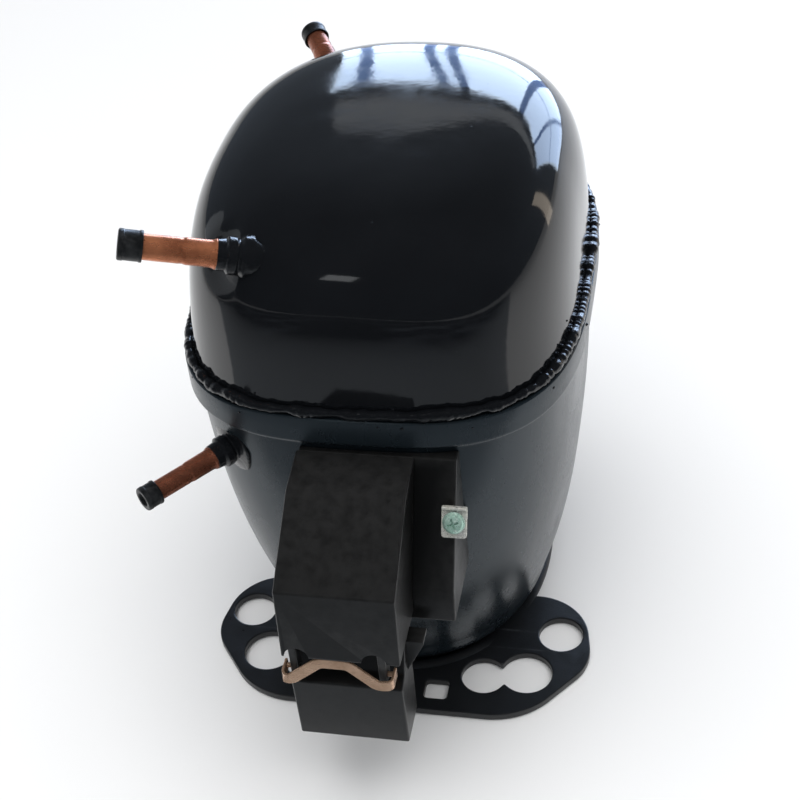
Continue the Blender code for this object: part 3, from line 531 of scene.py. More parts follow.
def prism(name, outline, low, high, axis, edge=0.0, segments=3, sharp=25):
    """Extrudes an outline along one axis and rounds its edges. The outline gives the other two axes."""
    def point(pair, depth):
        values = list(pair)
        values.insert("XYZ".index(axis), depth)
        return Vector(values)

    bm = bmesh.new()
    add_skin(bm, [[point(p, low) for p in outline], [point(p, high) for p in outline]])
    if edge:
        bmesh.ops.recalc_face_normals(bm, faces=bm.faces)
        edges = [e for e in bm.edges if len(e.link_faces) == 2 and e.calc_face_angle() > math.radians(sharp)]
        bmesh.ops.bevel(bm, geom=edges, offset=edge, segments=segments, profile=0.5, affect="EDGES",
                        clamp_overlap=True)
    return to_object(name, bm)


def block(name, low, high, edge=0.0, segments=3):
    outline = [(low[0], low[1]), (high[0], low[1]), (high[0], high[1]), (low[0], high[1])]
    return prism(name, outline, low[2], high[2], "Z", edge, segments)


def turned(name, profile, sides=64, ring=False, location=(0, 0, 0), way=(0, 0, 1)):
    """Turns a profile of (radius, height) about an axis through a place."""
    bm = bmesh.new()
    add_skin(bm, [circle(r, z, sides) for r, z in profile], closed=ring)
    obj = to_object(name, bm)
    obj.data.transform(frame_on(location, way))
    return obj


def combine(obj, other, operation, sharp=35):
    """Cuts or joins at once, and removes the other object."""
    modifier = obj.modifiers.new("Boolean", "BOOLEAN")
    modifier.operation = operation
    modifier.object = other
    modifier.solver = "EXACT"
    bpy.context.view_layer.update()
    graph = bpy.context.evaluated_depsgraph_get()
    mesh = bpy.data.meshes.new_from_object(obj.evaluated_get(graph))
    obj.modifiers.clear()
    obj.data = mesh
    bpy.data.objects.remove(other, do_unlink=True)
    shade(obj, sharp)


def drill(obj, radius, centre, way, length, sides=48):
    half = length / 2
    tool = turned("drill", [(0, -half), (radius, -half), (radius, half), (0, half)], sides)
    tool.data.transform(Matrix.Rotation(0.03, 4, "Z"))
    tool.data.transform(frame_on(centre, way))
    combine(obj, tool, "DIFFERENCE")


def ripple(point, scale, size, seed=0.0):
    """Smooth three-dimensional noise of about this size, for a length in metres."""
    return noise.noise(Vector(point) * scale + Vector((seed, seed * 1.7, -seed))) * size


def add_blob(bm, centre, radii, seed, rough=0.25):
    """A lump of paint or spatter."""
    made = bmesh.ops.create_icosphere(bm, subdivisions=3, radius=1.0)
    for vert in made["verts"]:
        grow = 1 + rough * noise.noise(vert.co * 1.7 + Vector((seed, -seed, seed * 0.5)))
        vert.co = Vector(centre) + Vector([c * r * grow for c, r in zip(vert.co, radii)])


def stands_for(obj, node, finish=None, body="casing"):
    """Gives a finished piece its material and its body, and hides the CAD node that it replaces."""
    slots = {row["node"]: row["material_slot"] for row in frame["record"]["subparts"]}
    obj.data.materials.clear()
    obj.data.materials.append(finish or SLOT_FINISH[slots[node]])
    if node in FLAT_SIDED:
        keep_flats_flat(obj)
    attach(obj, body)
    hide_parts(node)
    return obj


# ---------------------------------------------------------------- casing

def oval(half_x, half_y, power, z, sides=CASE_SIDES):
    points = []
    for i in range(sides):
        angle = 2 * math.pi * (i + 0.5) / sides
        c = math.cos(angle)
        s = math.sin(angle)
        reach = (abs(c) ** power + abs(s) ** power) ** (-1 / power)
        points.append(Vector((half_x * reach * c, half_y * reach * s, z)))
    return points


def crown_sizes(share):
    width = (1 - share**4.85) ** (1 / 4.85) * (1 - 0.048 * share)
    length = (1 - share**4.06) ** (1 / 4.06) * (1 + 0.045 * share)
    return width, length


def crown_ring(share, depth, sides=CASE_SIDES):
    width, length = crown_sizes(share)
    power = CASE_POWER + (CROWN_POWER - CASE_POWER) * share
    height = SEAM_Z + (CROWN_HEIGHT - depth) * share
    return oval((CASE_X - depth) * width, (CASE_Y - depth) * length, power, height, sides)


def even_shares(count):
    """Shares of the crown's height whose rings are evenly spaced along its outline."""
    fine = [math.sin(math.pi / 2 * i / 4000) ** 0.4 for i in range(4000)] + [1.0]
    along = [0.0]
    for low, high in zip(fine, fine[1:]):
        rise = (high - low) * CROWN_HEIGHT
        run = (crown_sizes(high)[0] - crown_sizes(low)[0]) * CASE_X
        along.append(along[-1] + math.hypot(rise, run))
    picked = []
    spot = 0
    for i in range(count):
        while along[spot] < along[-1] * i / count:
            spot += 1
        picked.append(fine[spot])
    return picked


def pressed(point, depth):
    """The shallow flat that is pressed into the crown round the foot of the suction stub."""
    foot = Vector(STUBS["suction"]["foot"])
    way = Vector(STUBS["suction"]["way"]).normalized()
    rest = point - foot
    along = rest.dot(way) + depth
    across = (rest - way * rest.dot(way)).length
    if along <= 0 or across > PRESS_REACH:
        return point
    share = 1 - smooth((across - PRESS_FLAT) / (PRESS_REACH - PRESS_FLAT))
    return point - way * (along * share * PRESS_SHARE)


def upper_shell():
    outer = [oval(CASE_X, CASE_Y, CASE_POWER, z) for z in (SKIRT_Z, 0.1540)]
    outer += [[pressed(p, 0) for p in crown_ring(share, 0)] for share in even_shares(72)]
    outer += [[Vector((0, 0, SEAM_Z + CROWN_HEIGHT))]]
    inner = [oval(CASE_X - WALL, CASE_Y - WALL, CASE_POWER, SKIRT_Z)]
    inner += [[pressed(p, WALL) for p in crown_ring(share, WALL)] for share in even_shares(24)]
    inner += [[Vector((0, 0, SEAM_Z + CROWN_HEIGHT - WALL))]]
    bm = bmesh.new()
    add_skin(bm, inner[::-1] + outer)
    shell = to_object("upper_casing", bm, 40)
    for name in ("suction", "process"):
        stub = STUBS[name]
        drill(shell, stub["sleeve"] - 0.0006, stub["foot"], stub["way"], 0.060)
    return stands_for(shell, "upper_shell")


def lower_half_sizes(z):
    share = (NECK_Z - z) / (NECK_Z - FOOT_Z)
    full = 1 - share**2.6
    half_x = FOOT_X + (CASE_X - FOOT_X) * full
    half_y = FOOT_Y + (CASE_Y - FOOT_Y) * full
    return half_x, half_y, CASE_POWER + (FOOT_POWER - CASE_POWER) * share


def collar_rings():
    """The outside of the collar, from its rounded lip under the weld to the soft shoulder below."""
    rings = []
    for drop, step in ((0.0, 0.84), (0.0004, 0.97), (0.0010, 1.0), (0.0060, 1.0), (0.0100, 1.0)):
        grow = COLLAR_STEP * step
        rings.append(oval(CASE_X + grow, CASE_Y + grow, CASE_POWER, SEAM_Z - drop))
    for i in range(11):
        share = i / 10
        grow = COLLAR_STEP * (1 - smooth(share))
        z = COLLAR_Z + 0.0008 - 0.0038 * share
        half_x, half_y, power = lower_half_sizes(min(z, NECK_Z))
        rings.append(oval(half_x + grow, half_y + grow, power, z))
    return rings


def lower_rings(depth, count=48):
    """The lower casing from the neck down to its foot, moved inwards by a depth."""
    rings = []
    low = 0.0165
    top = COLLAR_Z - 0.0036
    for i in range(count):
        z = top + (low - top) * i / (count - 1)
        half_x, half_y, power = lower_half_sizes(z)
        rings.append(oval(half_x - depth, half_y - depth, power, z))
    half_x, half_y, power = lower_half_sizes(low)
    for i in range(1, 13):
        angle = math.pi / 2 * i / 12
        drop = (low - FOOT_Z - depth) * math.sin(angle)
        pull = 0.0150 * (1 - math.cos(angle))
        rings.append(oval(half_x - depth - pull, half_y - depth - pull, power, low - drop))
    return rings


def lower_shell():
    outer = collar_rings() + lower_rings(0)
    inner = [oval(CASE_X + GAP, CASE_Y + GAP, CASE_POWER, z) for z in (SEAM_Z, SKIRT_Z - GAP)]
    inner += [oval(CASE_X - WALL, CASE_Y - WALL, CASE_POWER, SKIRT_Z - GAP)] + lower_rings(WALL, 16)
    bm = bmesh.new()
    bottom = [[Vector((0, 0, FOOT_Z + WALL))]]
    add_skin(bm, bottom + inner[::-1] + outer + [[Vector((0, 0, FOOT_Z))]])
    shell = to_object("lower_casing", bm, 40)
    drill(shell, TERMINAL_RADIUS, (0, -CASE_Y, TERMINAL_Z), (0, 1, 0), 0.040)
    stub = STUBS["discharge"]
    drill(shell, stub["sleeve"] - 0.0006, stub["foot"], stub["way"], 0.040)
    # The lower casing's paler, bluer enamel is painted bluish light.
    return stands_for(shell, "lower_shell", BLUISH_LIT_ENAMEL)


def weld_bead():
    """A hand-laid weld: overlapping ripples of uneven width, with spatter beside it, all under the paint."""
    bm = bmesh.new()
    count = 1500
    path = oval(CASE_X + 0.0011, CASE_Y + 0.0011, CASE_POWER, SEAM_Z, count)
    run = 0.0
    rings = []
    for i, spot in enumerate(path):
        ahead = path[(i + 1) % count] - path[i - 1]
        out = Vector((ahead.y, -ahead.x, 0)).normalized()
        run += (path[(i + 1) % count] - spot).length
        scallop = abs(math.sin(run * math.pi / 0.0040 + 5.0 * ripple(spot, 110, 1.0, 3.0)))
        width = 0.0021 * (0.86 + 0.12 * scallop + ripple(spot, 75, 0.45) + ripple(spot, 260, 0.30, 5.0))
        rise = 0.0017 + ripple(spot, 75, 0.0012, 8.0) + ripple(spot, 300, 0.0004, 12.0)
        ring = []
        for k in range(14):
            angle = 2 * math.pi * k / 14
            rough = 1 + ripple(spot + out * math.cos(angle) * 0.002, 650, 0.09, k * 0.5)
            side = out * (math.cos(angle) * width * rough)
            ring.append(spot + side + Vector((0, 0, rise + math.sin(angle) * width * 1.05 * rough)))
        rings.append(ring)
    add_skin(bm, rings, closed=True)
    draw = random.Random(7)
    for i in range(36):
        spot = path[draw.randrange(count)]
        out = Vector((spot.x, spot.y, 0)).normalized()
        size = draw.uniform(0.0003, 0.0007)
        lift = draw.choice((-0.0030, -0.0018, 0.0050, 0.0062, 0.0085)) + draw.uniform(-0.0010, 0.0010)
        reach = 0.0021 if lift < 0 else -0.0010
        add_blob(bm, spot + out * reach + Vector((0, 0, lift)), (size * 1.3, size * 1.3, size), i)
    return stands_for(to_object("seam_weld", bm, 75), "weld_bead", WELD_ENAMEL)


# ---------------------------------------------------------------- base plate

def ring_of(x, y, radius, steps=72):
    return [(x + radius * math.cos(2 * math.pi * i / steps), y + radius * math.sin(2 * math.pi * i / steps))
            for i in range(steps)]


def double_hole(first, second, steps=64):
    """The outline of two overlapping round holes, with its two points worn round."""
    (ax, ay, a_radius), (bx, by, b_radius) = first, second
    apart = math.hypot(bx - ax, by - ay)
    heading = math.atan2(by - ay, bx - ax)
    a_half = math.acos((apart**2 + a_radius**2 - b_radius**2) / (2 * apart * a_radius))
    b_half = math.acos((apart**2 + b_radius**2 - a_radius**2) / (2 * apart * b_radius))
    points = []
    for x, y, radius, start, half in ((ax, ay, a_radius, heading, a_half),
                                      (bx, by, b_radius, heading + math.pi, b_half)):
        for i in range(steps):
            angle = start + half + (2 * math.pi - 2 * half) * (i + 0.5) / steps
            points.append((x + radius * math.cos(angle), y + radius * math.sin(angle)))
    for _ in range(3):
        points = [((p[0] + 2 * q[0] + r[0]) / 4, (p[1] + 2 * q[1] + r[1]) / 4)
                  for p, q, r in zip(points[-1:] + points[:-1], points, points[1:] + points[:1])]
    return points


def base_plate():
    """The stamped foot plate, with rolled edges, and the ridge that locates the casing's foot."""
    right = [REAR_CORNER, WAIST, EAR_CORNER, *FRONT_CORNERS]
    left = [(-x, y, r) for x, y, r in right[::-1]]
    loops = [wound(soften(right + left, 16))]
    for side in (-1, 1):
        mirrored = [(side * x, y, r) for x, y, r in (LOBE_HOLE, SMALL_LOBE)]
        loops.append(wound(double_hole(*mirrored), False))
        for x, y, radius in (EAR_HOLE, REAR_HOLE):
            loops.append(wound(ring_of(side * x, y, radius), False))
        x, y, half = SQUARE_HOLE
        signs = ((-1, -1), (1, -1), (1, 1), (-1, 1))
        corners = [(side * x + i * half, y + j * half, 0.0018) for i, j in signs]
        loops.append(wound(soften(corners, 6), False))
    quarter = [math.pi / 2 * i / 3 for i in range(4)]
    levels = [(PLATE_EDGE * (1 - math.sin(a)), PLATE_EDGE * (1 - math.cos(a))) for a in quarter]
    levels += [(depth, PLATE_THICKNESS - z) for depth, z in levels[::-1]]
    bm = bmesh.new()
    ends = ([], [])
    for loop in loops:
        rings = [[Vector((x, y, z)) for x, y in inset(loop, depth)] for depth, z in levels]
        add_skin(bm, rings, caps=False)
        ends[0].append(rings[0])
        ends[1].append(rings[-1])
    for end in ends:
        flat = [bm.verts.new(p) for ring in end for p in ring]
        for triangle in tessellate_polygon(end):
            bm.faces.new([flat[i] for i in triangle])
    add_foot_ridge(bm)
    return stands_for(to_object("foot_plate", bm, 50), "base_plate")


def add_foot_ridge(bm):
    """A low raised ridge round the casing's foot, in four stretches with plain plate between them."""
    count = 360
    path = oval(FOOT_X + 0.0012, FOOT_Y + 0.0010, FOOT_POWER, PLATE_THICKNESS - 0.0004, count)
    rings = []
    for i, spot in enumerate(path):
        ahead = path[(i + 1) % count] - path[i - 1]
        out = Vector((ahead.y, -ahead.x, 0)).normalized()
        turn = 2 * math.pi * i / count
        height = 0.0004 + 0.0018 * smooth(0.62 + 0.9 * math.cos(6 * turn + 0.9))
        ring = []
        for k in range(9):
            angle = math.pi * k / 8
            ring.append(spot + out * (0.0026 * math.cos(angle)) + Vector((0, 0, height * math.sin(angle))))
        rings.append(ring)
    add_skin(bm, rings, closed=True)


# ---------------------------------------------------------------- pipe stubs

def pipe_tube(name, stub):
    """Drawn copper tube, a little wider below a shallow step, with a braze ring at its sleeve."""
    radius = stub["radius"]
    end = stub["length"]
    bore = radius - STUB_WALL
    crimp = 0.0205
    outer = []
    steps = 120
    for i in range(steps + 1):
        z = 0.0060 + (end - 0.0006 - 0.0060) * i / steps
        dent = 0.00018 * math.exp(-((z - crimp) / 0.0008) ** 2)
        swell = 0.00022 * smooth((crimp - z) / 0.0020 + 0.5)
        braze = 0.0010 * math.exp(-max(0.0, z - 0.0090) / 0.0006)
        outer.append((radius - 0.00022 - dent + swell + min(braze, 0.0006), z))
    tip = [(radius - 0.0005, end - 0.0001), (bore + 0.0004, end), (bore, end - 0.0005)]
    profile = [(bore, -STUB_INSIDE), (radius - 0.0003, -STUB_INSIDE)] + outer + tip
    bm = bmesh.new()
    rings = [circle(r, z, 56) for r, z in profile]
    for ring in rings:
        for point in ring:
            out = Vector((point.x, point.y, 0))
            point += out.normalized() * ripple(point * 1000, 0.13, 0.00008, len(name))
    add_skin(bm, rings, closed=True)
    tube = to_object(name + "_pipe", bm, 40)
    tube.data.transform(frame_on(stub["foot"], stub["way"]))
    return stands_for(tube, name + "_tube", TUBE_COPPER if name == "suction" else DARK_COPPER)


def pipe_sleeve(name, stub):
    """The steel connector welded into the casing, thick with paint that has run and pooled."""
    outer = stub["sleeve"]
    hole = stub["radius"] + GAP
    flange = stub["boss"] - 0.0003
    neck = outer - 0.0006
    corners = [(hole, -0.0080, 0), (neck, -0.0080, 0), (flange, -0.0040, 0.0010), (flange, -0.0006, 0.0010),
               (neck, 0.0008, 0.0007), (neck + 0.0001, 0.0014, 0.0003), (outer, 0.0020, 0.0006),
               (outer, 0.0048, 0.0007), (outer - 0.0011, 0.0057, 0.0003), (outer - 0.0013, 0.0087, 0.0004),
               (hole, 0.0089, 0)]
    profile = soften(corners, 5, closed=False)
    dense = []
    for (a_radius, a_z), (b_radius, b_z) in zip(profile, profile[1:]):
        pieces = max(1, round(math.hypot(b_radius - a_radius, b_z - a_z) / 0.0006))
        dense += [(a_radius + (b_radius - a_radius) * i / pieces, a_z + (b_z - a_z) * i / pieces)
                  for i in range(pieces)]
    dense.append(profile[-1])
    bm = bmesh.new()
    rings = [circle(r, z, 72) for r, z in dense]
    for ring in rings:
        for point in ring:
            out = Vector((point.x, point.y, 0))
            if out.length > hole + 0.0003:
                low = 1.0 if point.z < 0.0016 else 0.35
                point += out.normalized() * (low * ripple(point, 190, 0.0009, 2.0) - 0.0001)
    add_skin(bm, rings, closed=True)
    sleeve = to_object(name + "_connector", bm, 50)
    sleeve.data.transform(frame_on(stub["foot"], stub["way"]))
    return stands_for(sleeve, name + "_sleeve", WELD_ENAMEL)


def pipe_cap(name, stub):
    """A push-on rubber cap with a rolled lip, faint mould rings and a dished end."""
    radius = stub["radius"]
    rim = radius + GAP + CAP_WALL
    mouth = stub["length"] - stub["cap_length"] + 0.0020
    top = stub["length"] + 0.0025
    end = stub["length"] + GAP
    side = [(rim - 0.0001, mouth, 0.0002), (rim, mouth + 0.0003, 0.0002), (rim, mouth + 0.0010, 0.0002),
            (rim - 0.0002, mouth + 0.0013, 0.0002), (rim - 0.0002, top - 0.0022, 0.0003),
            (rim - 0.00005, top - 0.0018, 0.0003), (rim - 0.0001, top, 0.0007)]
    face = [(rim - 0.0020, top, 0.0005), (rim - 0.0025, top - 0.0012, 0.0004), (0.0009, top - 0.0014, 0.0003),
            (0.0006, top - 0.0010, 0.0002), (0, top - 0.0010, 0)]
    corners = [(0, end, 0), (radius + GAP, end, 0.0002), (radius + GAP, mouth, 0.0002)] + side + face
    profile = soften(corners, 4, closed=False)
    cap = turned(name + "_end_cap", profile, 64, location=stub["foot"], way=stub["way"])
    return stands_for(cap, name + "_cap", body=name + "_cap_body")


# ---------------------------------------------------------------- terminal box, cover and cord box

def case_cutter():
    rings = [oval(CASE_X + 0.0003, CASE_Y + 0.0003, CASE_POWER, 0.1600, 144)]
    for i in range(25):
        z = NECK_Z - (NECK_Z - 0.0200) * i / 24
        half_x, half_y, power = lower_half_sizes(z)
        rings.append(oval(half_x + 0.0003, half_y + 0.0003, power, z, 144))
    bm = bmesh.new()
    add_skin(bm, rings)
    return to_object("case_cutter", bm)


def terminal_box():
    """The box on the casing: a hollow shell with rounded edges and a window, its back cut to fit the casing.
    """
    box = prism("terminal_housing", BOX_PROFILE, *BOX_X, "X", 0.0009, 4)
    inner = inset(BOX_PROFILE, BOX_WALL)
    inner[0] = (-0.080, inner[0][1])
    inner[4] = (-0.080, inner[4][1])
    combine(box, prism("core", inner, BOX_X[0] + BOX_WALL, BOX_X[1] - BOX_WALL, "X", 0.0005, 2), "DIFFERENCE")
    window = block("window", (BOX_WINDOW_X[0], -0.130, BOX_WINDOW_Z[0]),
                   (BOX_WINDOW_X[1], -0.090, BOX_WINDOW_Z[1]))
    combine(box, window, "DIFFERENCE")
    combine(box, case_cutter(), "DIFFERENCE")
    return stands_for(box, "terminal_box")


def terminal_cover():
    """The pull-off hood: rounded outer edges, a hollow inside, two notches and the strap's two lugs."""
    cover = prism("terminal_hood", COVER_PROFILE, *COVER_X, "X", 0.0008, 4)
    inner = inset(COVER_PROFILE, BOX_WALL)
    inner[0] = (-0.0950, inner[0][1])
    inner[4] = (-0.1150, inner[4][1])
    inner[5] = (-0.1150, 0.0990)
    core = prism("core", inner, COVER_X[0] + BOX_WALL, COVER_X[1] - BOX_WALL, "X", 0.0004, 2)
    combine(cover, core, "DIFFERENCE")
    for notch_x, lug_x in zip(NOTCH_X, LUG_X):
        drill(cover, NOTCH_RADIUS, (notch_x, -0.1500, 0.0885), (0, 1, 0), 0.014, 40)
        low = (lug_x - 0.0015, -0.1462, LUG_Z)
        combine(cover, block("lug", low, (lug_x + 0.0015, -0.1400, 0.0895), 0.0005, 3), "UNION")
        drill(cover, 0.0013, (lug_x, *CLIP_AXIS), (1, 0, 0), 0.010, 24)
    return stands_for(cover, "terminal_cover", body="cover")


def cord_box():
    box = prism("cord_outlet", CORD_BOX_PROFILE, *CORD_BOX_X, "X", 0.0008, 4)
    inside, outside = CORD_BOX_X[1] - 0.0010, CORD_BOX_X[1] + 0.0070
    flank = ((inside, 0.0640), (outside, 0.0810), (outside, 0.0824), (inside, 0.0824))
    combine(box, prism("flank", flank, -0.1320, -0.1244, "Y", 0.0004, 2), "UNION")
    inner = [(-0.1180, 0.0900), (-0.1180, 0.0375), (-0.1398, 0.0375), (-0.1410, 0.0660), (-0.1358, 0.0684),
             (-0.1320, 0.0900)]
    core = prism("core", inner, CORD_BOX_X[0] + BOX_WALL, CORD_BOX_X[1] - BOX_WALL, "X", 0.0004, 2)
    combine(box, core, "DIFFERENCE")
    return stands_for(box, "cord_box")


def clip_path():
    """The strap's middle line in (x, y, z) about its hinge axis, with a leg at each end."""
    rise = 0.0085
    left = -0.0231
    right = 0.0184
    back = 0.0018
    return [(left, back, -0.0008), (left, CLIP_FRONT, -0.0008), (-0.0205, CLIP_FRONT, -0.0022),
            (-0.0085, CLIP_FRONT, rise), (0.0025, CLIP_FRONT, rise), (0.0130, CLIP_FRONT, -0.0016),
            (right, CLIP_FRONT, -0.0008), (right, back, -0.0008)]


def soften_path(points, reach, steps=8):
    """A path whose corners are eased with a parabola that starts this far from each."""
    eased = [Vector(points[0])]
    for before, here, after in zip(points, points[1:], points[2:]):
        here = Vector(here)
        back = Vector(before) - here
        on = Vector(after) - here
        start = here + back.normalized() * min(reach, back.length * 0.48)
        end = here + on.normalized() * min(reach, on.length * 0.48)
        for i in range(steps + 1):
            t = i / steps
            eased.append(start * (1 - t) ** 2 + here * (2 * t * (1 - t)) + end * t**2)
    eased.append(Vector(points[-1]))
    return eased


def cord_clip():
    """A copper strap bent to shape across the cord outlet, on two short pins."""
    path = soften_path(clip_path(), 0.0022)
    corners = [(i * CLIP_WIDTH / 2, j * CLIP_THICKNESS / 2, 0.0003)
               for i, j in ((-1, -1), (1, -1), (1, 1), (-1, 1))]
    section = soften(corners, 3)
    rings = []
    for i, spot in enumerate(path):
        ahead = (path[min(i + 1, len(path) - 1)] - path[max(i - 1, 0)]).normalized()
        wide = (Vector((0, 0, 1)) - ahead * ahead.z).normalized()
        thick = ahead.cross(wide)
        rings.append([spot + wide * a + thick * b for a, b in section])
    bm = bmesh.new()
    add_skin(bm, rings)
    strap = to_object("outlet_strap", bm, 45)
    for side, x in ((-1, -0.0230), (1, 0.0183)):
        profile = [(0, 0), (0.0009, 0), (0.0010, 0.0002), (0.0010, 0.0048), (0.0007, 0.0051), (0, 0.0051)]
        pin = turned("pin", profile, 24, location=(x, 0, 0), way=(-side, 0, 0))
        combine(strap, pin, "UNION", 45)
    strap.data.transform(Matrix.Translation((0, *CLIP_AXIS)))
    return stands_for(strap, "cord_clip", STRAP_COPPER, body="clip")


def earth_frame():
    slope = Vector(BOX_SLOPE).normalized()
    up = Vector((0, slope.z, -slope.y))
    turn = Matrix((Vector((1, 0, 0)), up, slope)).transposed().to_4x4()
    turn.translation = Vector(EARTH_AT) + slope * 0.0040
    return turn


def earth_bracket():
    """A bent zinc tab with a turned-up lip above the screw and a leg going back to the casing."""
    outline = soften([(-0.0047, -0.0060, 0.0012), (0.0047, -0.0060, 0.0012), (0.0047, 0.0060, 0.0006),
                      (-0.0047, 0.0060, 0.0006)], 5)
    tab = prism("earth_tab", outline, -0.0006, 0.0005, "Z", 0.0002, 2)
    leg = block("leg", (0.0001, -0.0059, -0.0242), (0.0013, -0.0025, 0.0), 0.0002, 2)
    combine(tab, leg, "UNION")
    lip = soften([(0.0044, 0.0, 0), (0.0060, 0.0, 0.0002), (0.0060, 0.0022, 0.0004), (0.0050, 0.0020, 0.0004),
                  (0.0046, 0.0008, 0.0004)], 3)
    combine(tab, prism("lip", lip, -0.0044, 0.0044, "X", 0.0001, 2), "UNION")
    drill(tab, 0.0022, (0, 0, 0), (0, 0, 1), 0.008, 32)
    tab.data.transform(earth_frame())
    return stands_for(tab, "earth_bracket")


def earth_screw():
    """A pan-head screw with a flange and a cross recess."""
    corners = [(0, -0.0028, 0), (0.0018, -0.0028, 0.0004), (0.0019, 0.0009, 0), (0.0041, 0.0009, 0.0001),
               (0.0042, 0.0015, 0.0003), (0.0036, 0.0019, 0.0003), (0.0034, 0.0030, 0.0008), (0, 0.0036, 0)]
    screw = turned("earth_bolt", soften(corners, 5, closed=False), 48)
    for turn in (0.35, 0.35 + math.pi / 2):
        bar = block("recess", (-0.0021, -0.0004, 0.0024), (0.0021, 0.0004, 0.0045), 0.0001, 1)
        bar.data.transform(Matrix.Rotation(turn, 4, "Z"))
        combine(screw, bar, "DIFFERENCE")
    screw.data.transform(earth_frame())
    return stands_for(screw, "earth_screw")


# ---------------------------------------------------------------- stage

def camera():
    pitch = math.cos(CAMERA_PITCH)
    forward = Vector((-math.sin(CAMERA_YAW) * pitch, math.cos(CAMERA_YAW) * pitch, -math.sin(CAMERA_PITCH)))
    level = Vector((math.cos(CAMERA_YAW), math.sin(CAMERA_YAW), 0))
    up = level.cross(forward)
    across = level * math.cos(CAMERA_ROLL) + up * math.sin(CAMERA_ROLL)
    upright = up * math.cos(CAMERA_ROLL) - level * math.sin(CAMERA_ROLL)
    data = bpy.data.cameras.new("camera")
    data.lens = CAMERA_LENS
    data.sensor_width = SENSOR
    data.clip_start = 0.01
    made = bpy.data.objects.new("camera", data)
    turn = Matrix((across, upright, -forward)).transposed().to_4x4()
    made.matrix_world = Matrix.Translation(CAMERA_AT) @ turn
    bpy.context.scene.collection.objects.link(made)
    bpy.context.scene.camera = made


def area_light(name, centre, target, width, height, radiance, colour, glossy=True, diffuse=True):
    """A softbox that faces a target. Its power follows from the brightness of its face."""
    data = bpy.data.lights.new(name, "AREA")
    data.shape = "RECTANGLE"
    data.size = width
    data.size_y = height
    data.energy = radiance * math.pi * width * height
    data.color = colour
    lamp = bpy.data.objects.new(name, data)
    lamp.location = centre
    lamp.rotation_euler = (Vector(target) - Vector(centre)).to_track_quat("-Z", "Y").to_euler()
    lamp.visible_glossy = glossy
    lamp.visible_diffuse = diffuse
    bpy.context.scene.collection.objects.link(lamp)


def lights():
    """Window panes behind, soft panels at the sides, and a broad overhead light the gloss ignores."""
    wall_y = 2.2
    low, high = 0.05, 1.30
    panes = ((-0.68, -0.60, 6.0), (-0.55, -0.38, 7.0), (-0.34, -0.30, 6.0),
             (-0.25, 0.34, 7.0), (0.46, 1.00, 5.5), (1.07, 1.62, 4.0))
    for index, (left, right, radiance) in enumerate(panes):
        for half, (bottom, top) in enumerate(((low, 0.62), (0.64, high))):
            middle = ((left + right) / 2, wall_y, (bottom + top) / 2)
            area_light("pane_%d_%d" % (index, half), middle, (middle[0], 0, middle[2]),
                       right - left, top - bottom, radiance, (0.66, 0.81, 1.0), diffuse=False)
    area_light("frames", (0.47, wall_y + 0.06, 0.68), (0.47, 0, 0.68), 2.30, 1.25, 1.5,
               (0.25, 0.45, 1.0), diffuse=False)
    area_light("header", (0.45, wall_y, 1.44), (0.45, 0, 1.44), 2.2, 0.10, 0.55,
               (0.92, 0.96, 1.0), diffuse=False)
    area_light("left_panel", (-1.5, 0.3, 0.50), (0, 0, 0.15), 0.9, 0.7, 0.35, (0.92, 0.96, 1.0))
    area_light("right_panel", (1.5, 1.2, 0.45), (0, 0, 0.15), 0.20, 0.9, 1.8, (1.0, 0.86, 0.70))
    area_light("overhead", (0.1, -0.2, 2.2), (0, 0, 0), 2.4, 2.4, 2.6, (1.0, 1.0, 1.0), glossy=False)
    data = bpy.data.lights.new("sky", "SUN")
    data.energy = 1.5
    data.angle = math.radians(120)
    sky = bpy.data.objects.new("sky", data)
    sky.visible_glossy = False
    bpy.context.scene.collection.objects.link(sky)
    area_light("front_fill", (0.2, -1.9, 0.5), (0, 0, 0.12), 1.4, 0.6, 1.8, (0.88, 0.94, 1.0), glossy=False)
    area_light("edge_light", (-0.4, -1.1, 1.5), (0, -0.1, 0.1), 0.22, 0.22, 1.6,
               (0.95, 0.98, 1.0), diffuse=False)


def world():
    """A dim room, a little lighter towards the windows and dark overhead."""
    made = bpy.data.worlds.new("room")
    made.use_nodes = True
    tree = made.node_tree
    back = tree.nodes["Background"]
    coords = tree.nodes.new("ShaderNodeTexCoord")
    split = tree.nodes.new("ShaderNodeSeparateXYZ")
    tree.links.new(coords.outputs["Generated"], split.inputs["Vector"])
    towards = remap(tree, split.outputs["Y"], -0.2, 1.0, 0, 1)
    level = blend_colour(tree, towards, (0.030, 0.034, 0.040), (0.150, 0.175, 0.210))
    overhead = remap(tree, split.outputs["Z"], 0.35, 0.85, 0, 1)
    tree.links.new(blend_colour(tree, overhead, level, (0.020, 0.020, 0.022)), back.inputs["Color"])
    bpy.context.scene.world = made


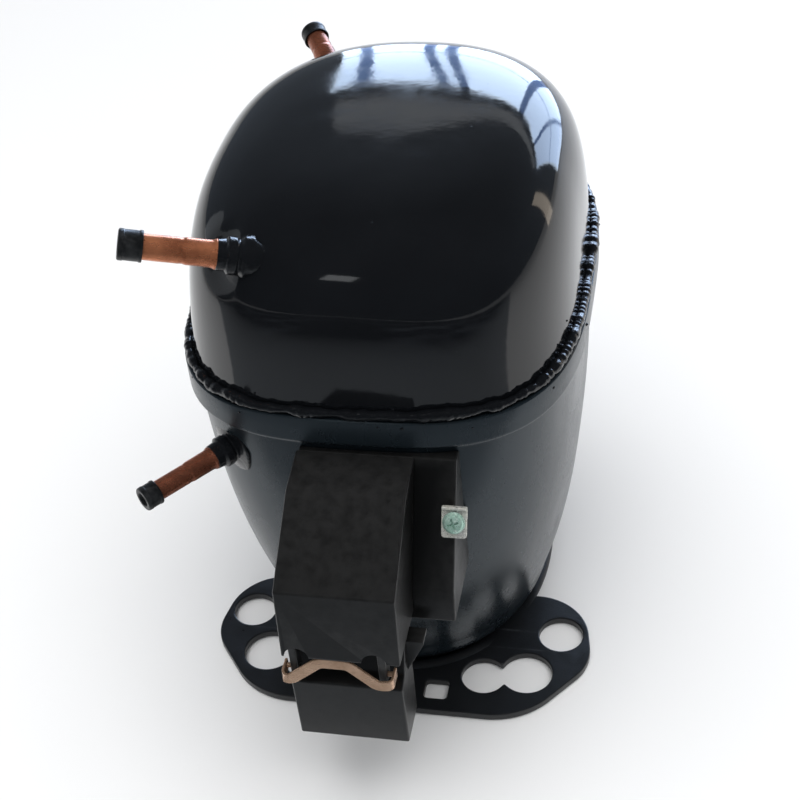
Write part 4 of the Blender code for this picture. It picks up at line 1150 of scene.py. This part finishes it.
def flag():
    """A dark card on the floor in front, seen only by the gloss, that hides the pale floor from it."""
    card = block("flag", (-4.5, -9.0, 0.0010), (3.5, -0.165, 0.0014))
    made, tree, shader = blank_material("black_card", (0.01, 0.01, 0.011), 0.9)
    patches = remap(tree, noise_fac(tree, 1.6, 2, 0.5), 0.46, 0.62, 0, 1)
    cloth = blend_colour(tree, patches, (0.010, 0.011, 0.012), (0.100, 0.115, 0.130))
    split = tree.nodes.new("ShaderNodeSeparateXYZ")
    tree.links.new(place_vector(tree), split.inputs["Vector"])
    fade = remap(tree, split.outputs["Y"], -0.60, -0.17, 0, 1)
    tree.links.new(blend_colour(tree, fade, cloth, (0.30, 0.32, 0.34)), shader.inputs["Base Color"])
    card.data.materials.append(made)
    card.visible_camera = False
    card.visible_diffuse = False
    card.visible_shadow = False
    card.visible_transmission = False


def floor():
    bm = bmesh.new()
    bmesh.ops.create_grid(bm, x_segments=1, y_segments=1, size=14.0)
    ground = to_object("floor", bm)
    ground.location.z = -0.0004
    made, tree, shader = blank_material("paper", (0.86, 0.86, 0.86), 0.75)
    tree.links.new(remap(tree, noise_fac(tree, 500, 3), 0.3, 0.7, 0.68, 0.82), shader.inputs["Roughness"])
    ground.data.materials.append(made)


def flexing(node):
    """A rounder copy of a sealed pipe or spring, which runs between the casing and the floating motor."""
    rough = frame["nodes"][node]
    made = bpy.data.objects.new(node + "_flex", rough.data.copy())
    bpy.context.scene.collection.objects.link(made)
    finer = made.modifiers.new("Finer", "SUBSURF")
    finer.levels = 2
    finer.render_levels = 2
    bpy.context.view_layer.update()
    mesh = bpy.data.meshes.new_from_object(made.evaluated_get(bpy.context.evaluated_depsgraph_get()))
    made.modifiers.clear()
    made.data = mesh
    shade(made, 60)
    slots = {row["node"]: row["material_slot"] for row in frame["record"]["subparts"]}
    made.data.materials.clear()
    made.data.materials.append(SLOT_FINISH[slots[node]])
    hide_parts(node)
    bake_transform(made)


def suspension():
    for index, (i, j) in enumerate(((-1, -1), (1, -1), (1, 1), (-1, 1))):
        flexing("suspension_spring_%d" % (index + 1))
    flexing("discharge_loop")


def finish_sealed_nodes():
    """Gives each CAD node its slot's finished material, the sealed and covered ones among them."""
    for row in frame["record"]["subparts"]:
        node = frame["nodes"][row["node"]]
        node.data.materials.clear()
        node.data.materials.append(SLOT_FINISH[row["material_slot"]])


camera()
lights()
world()
floor()
flag()
bpy.context.scene.view_settings.view_transform = "Standard"
finish_sealed_nodes()
base_plate()
lower_shell()
upper_shell()
weld_bead()
for stub_name, stub_sizes in STUBS.items():
    pipe_tube(stub_name, stub_sizes)
    pipe_sleeve(stub_name, stub_sizes)
    pipe_cap(stub_name, stub_sizes)
terminal_box()
terminal_cover()
cord_box()
cord_clip()
earth_bracket()
earth_screw()
suspension()
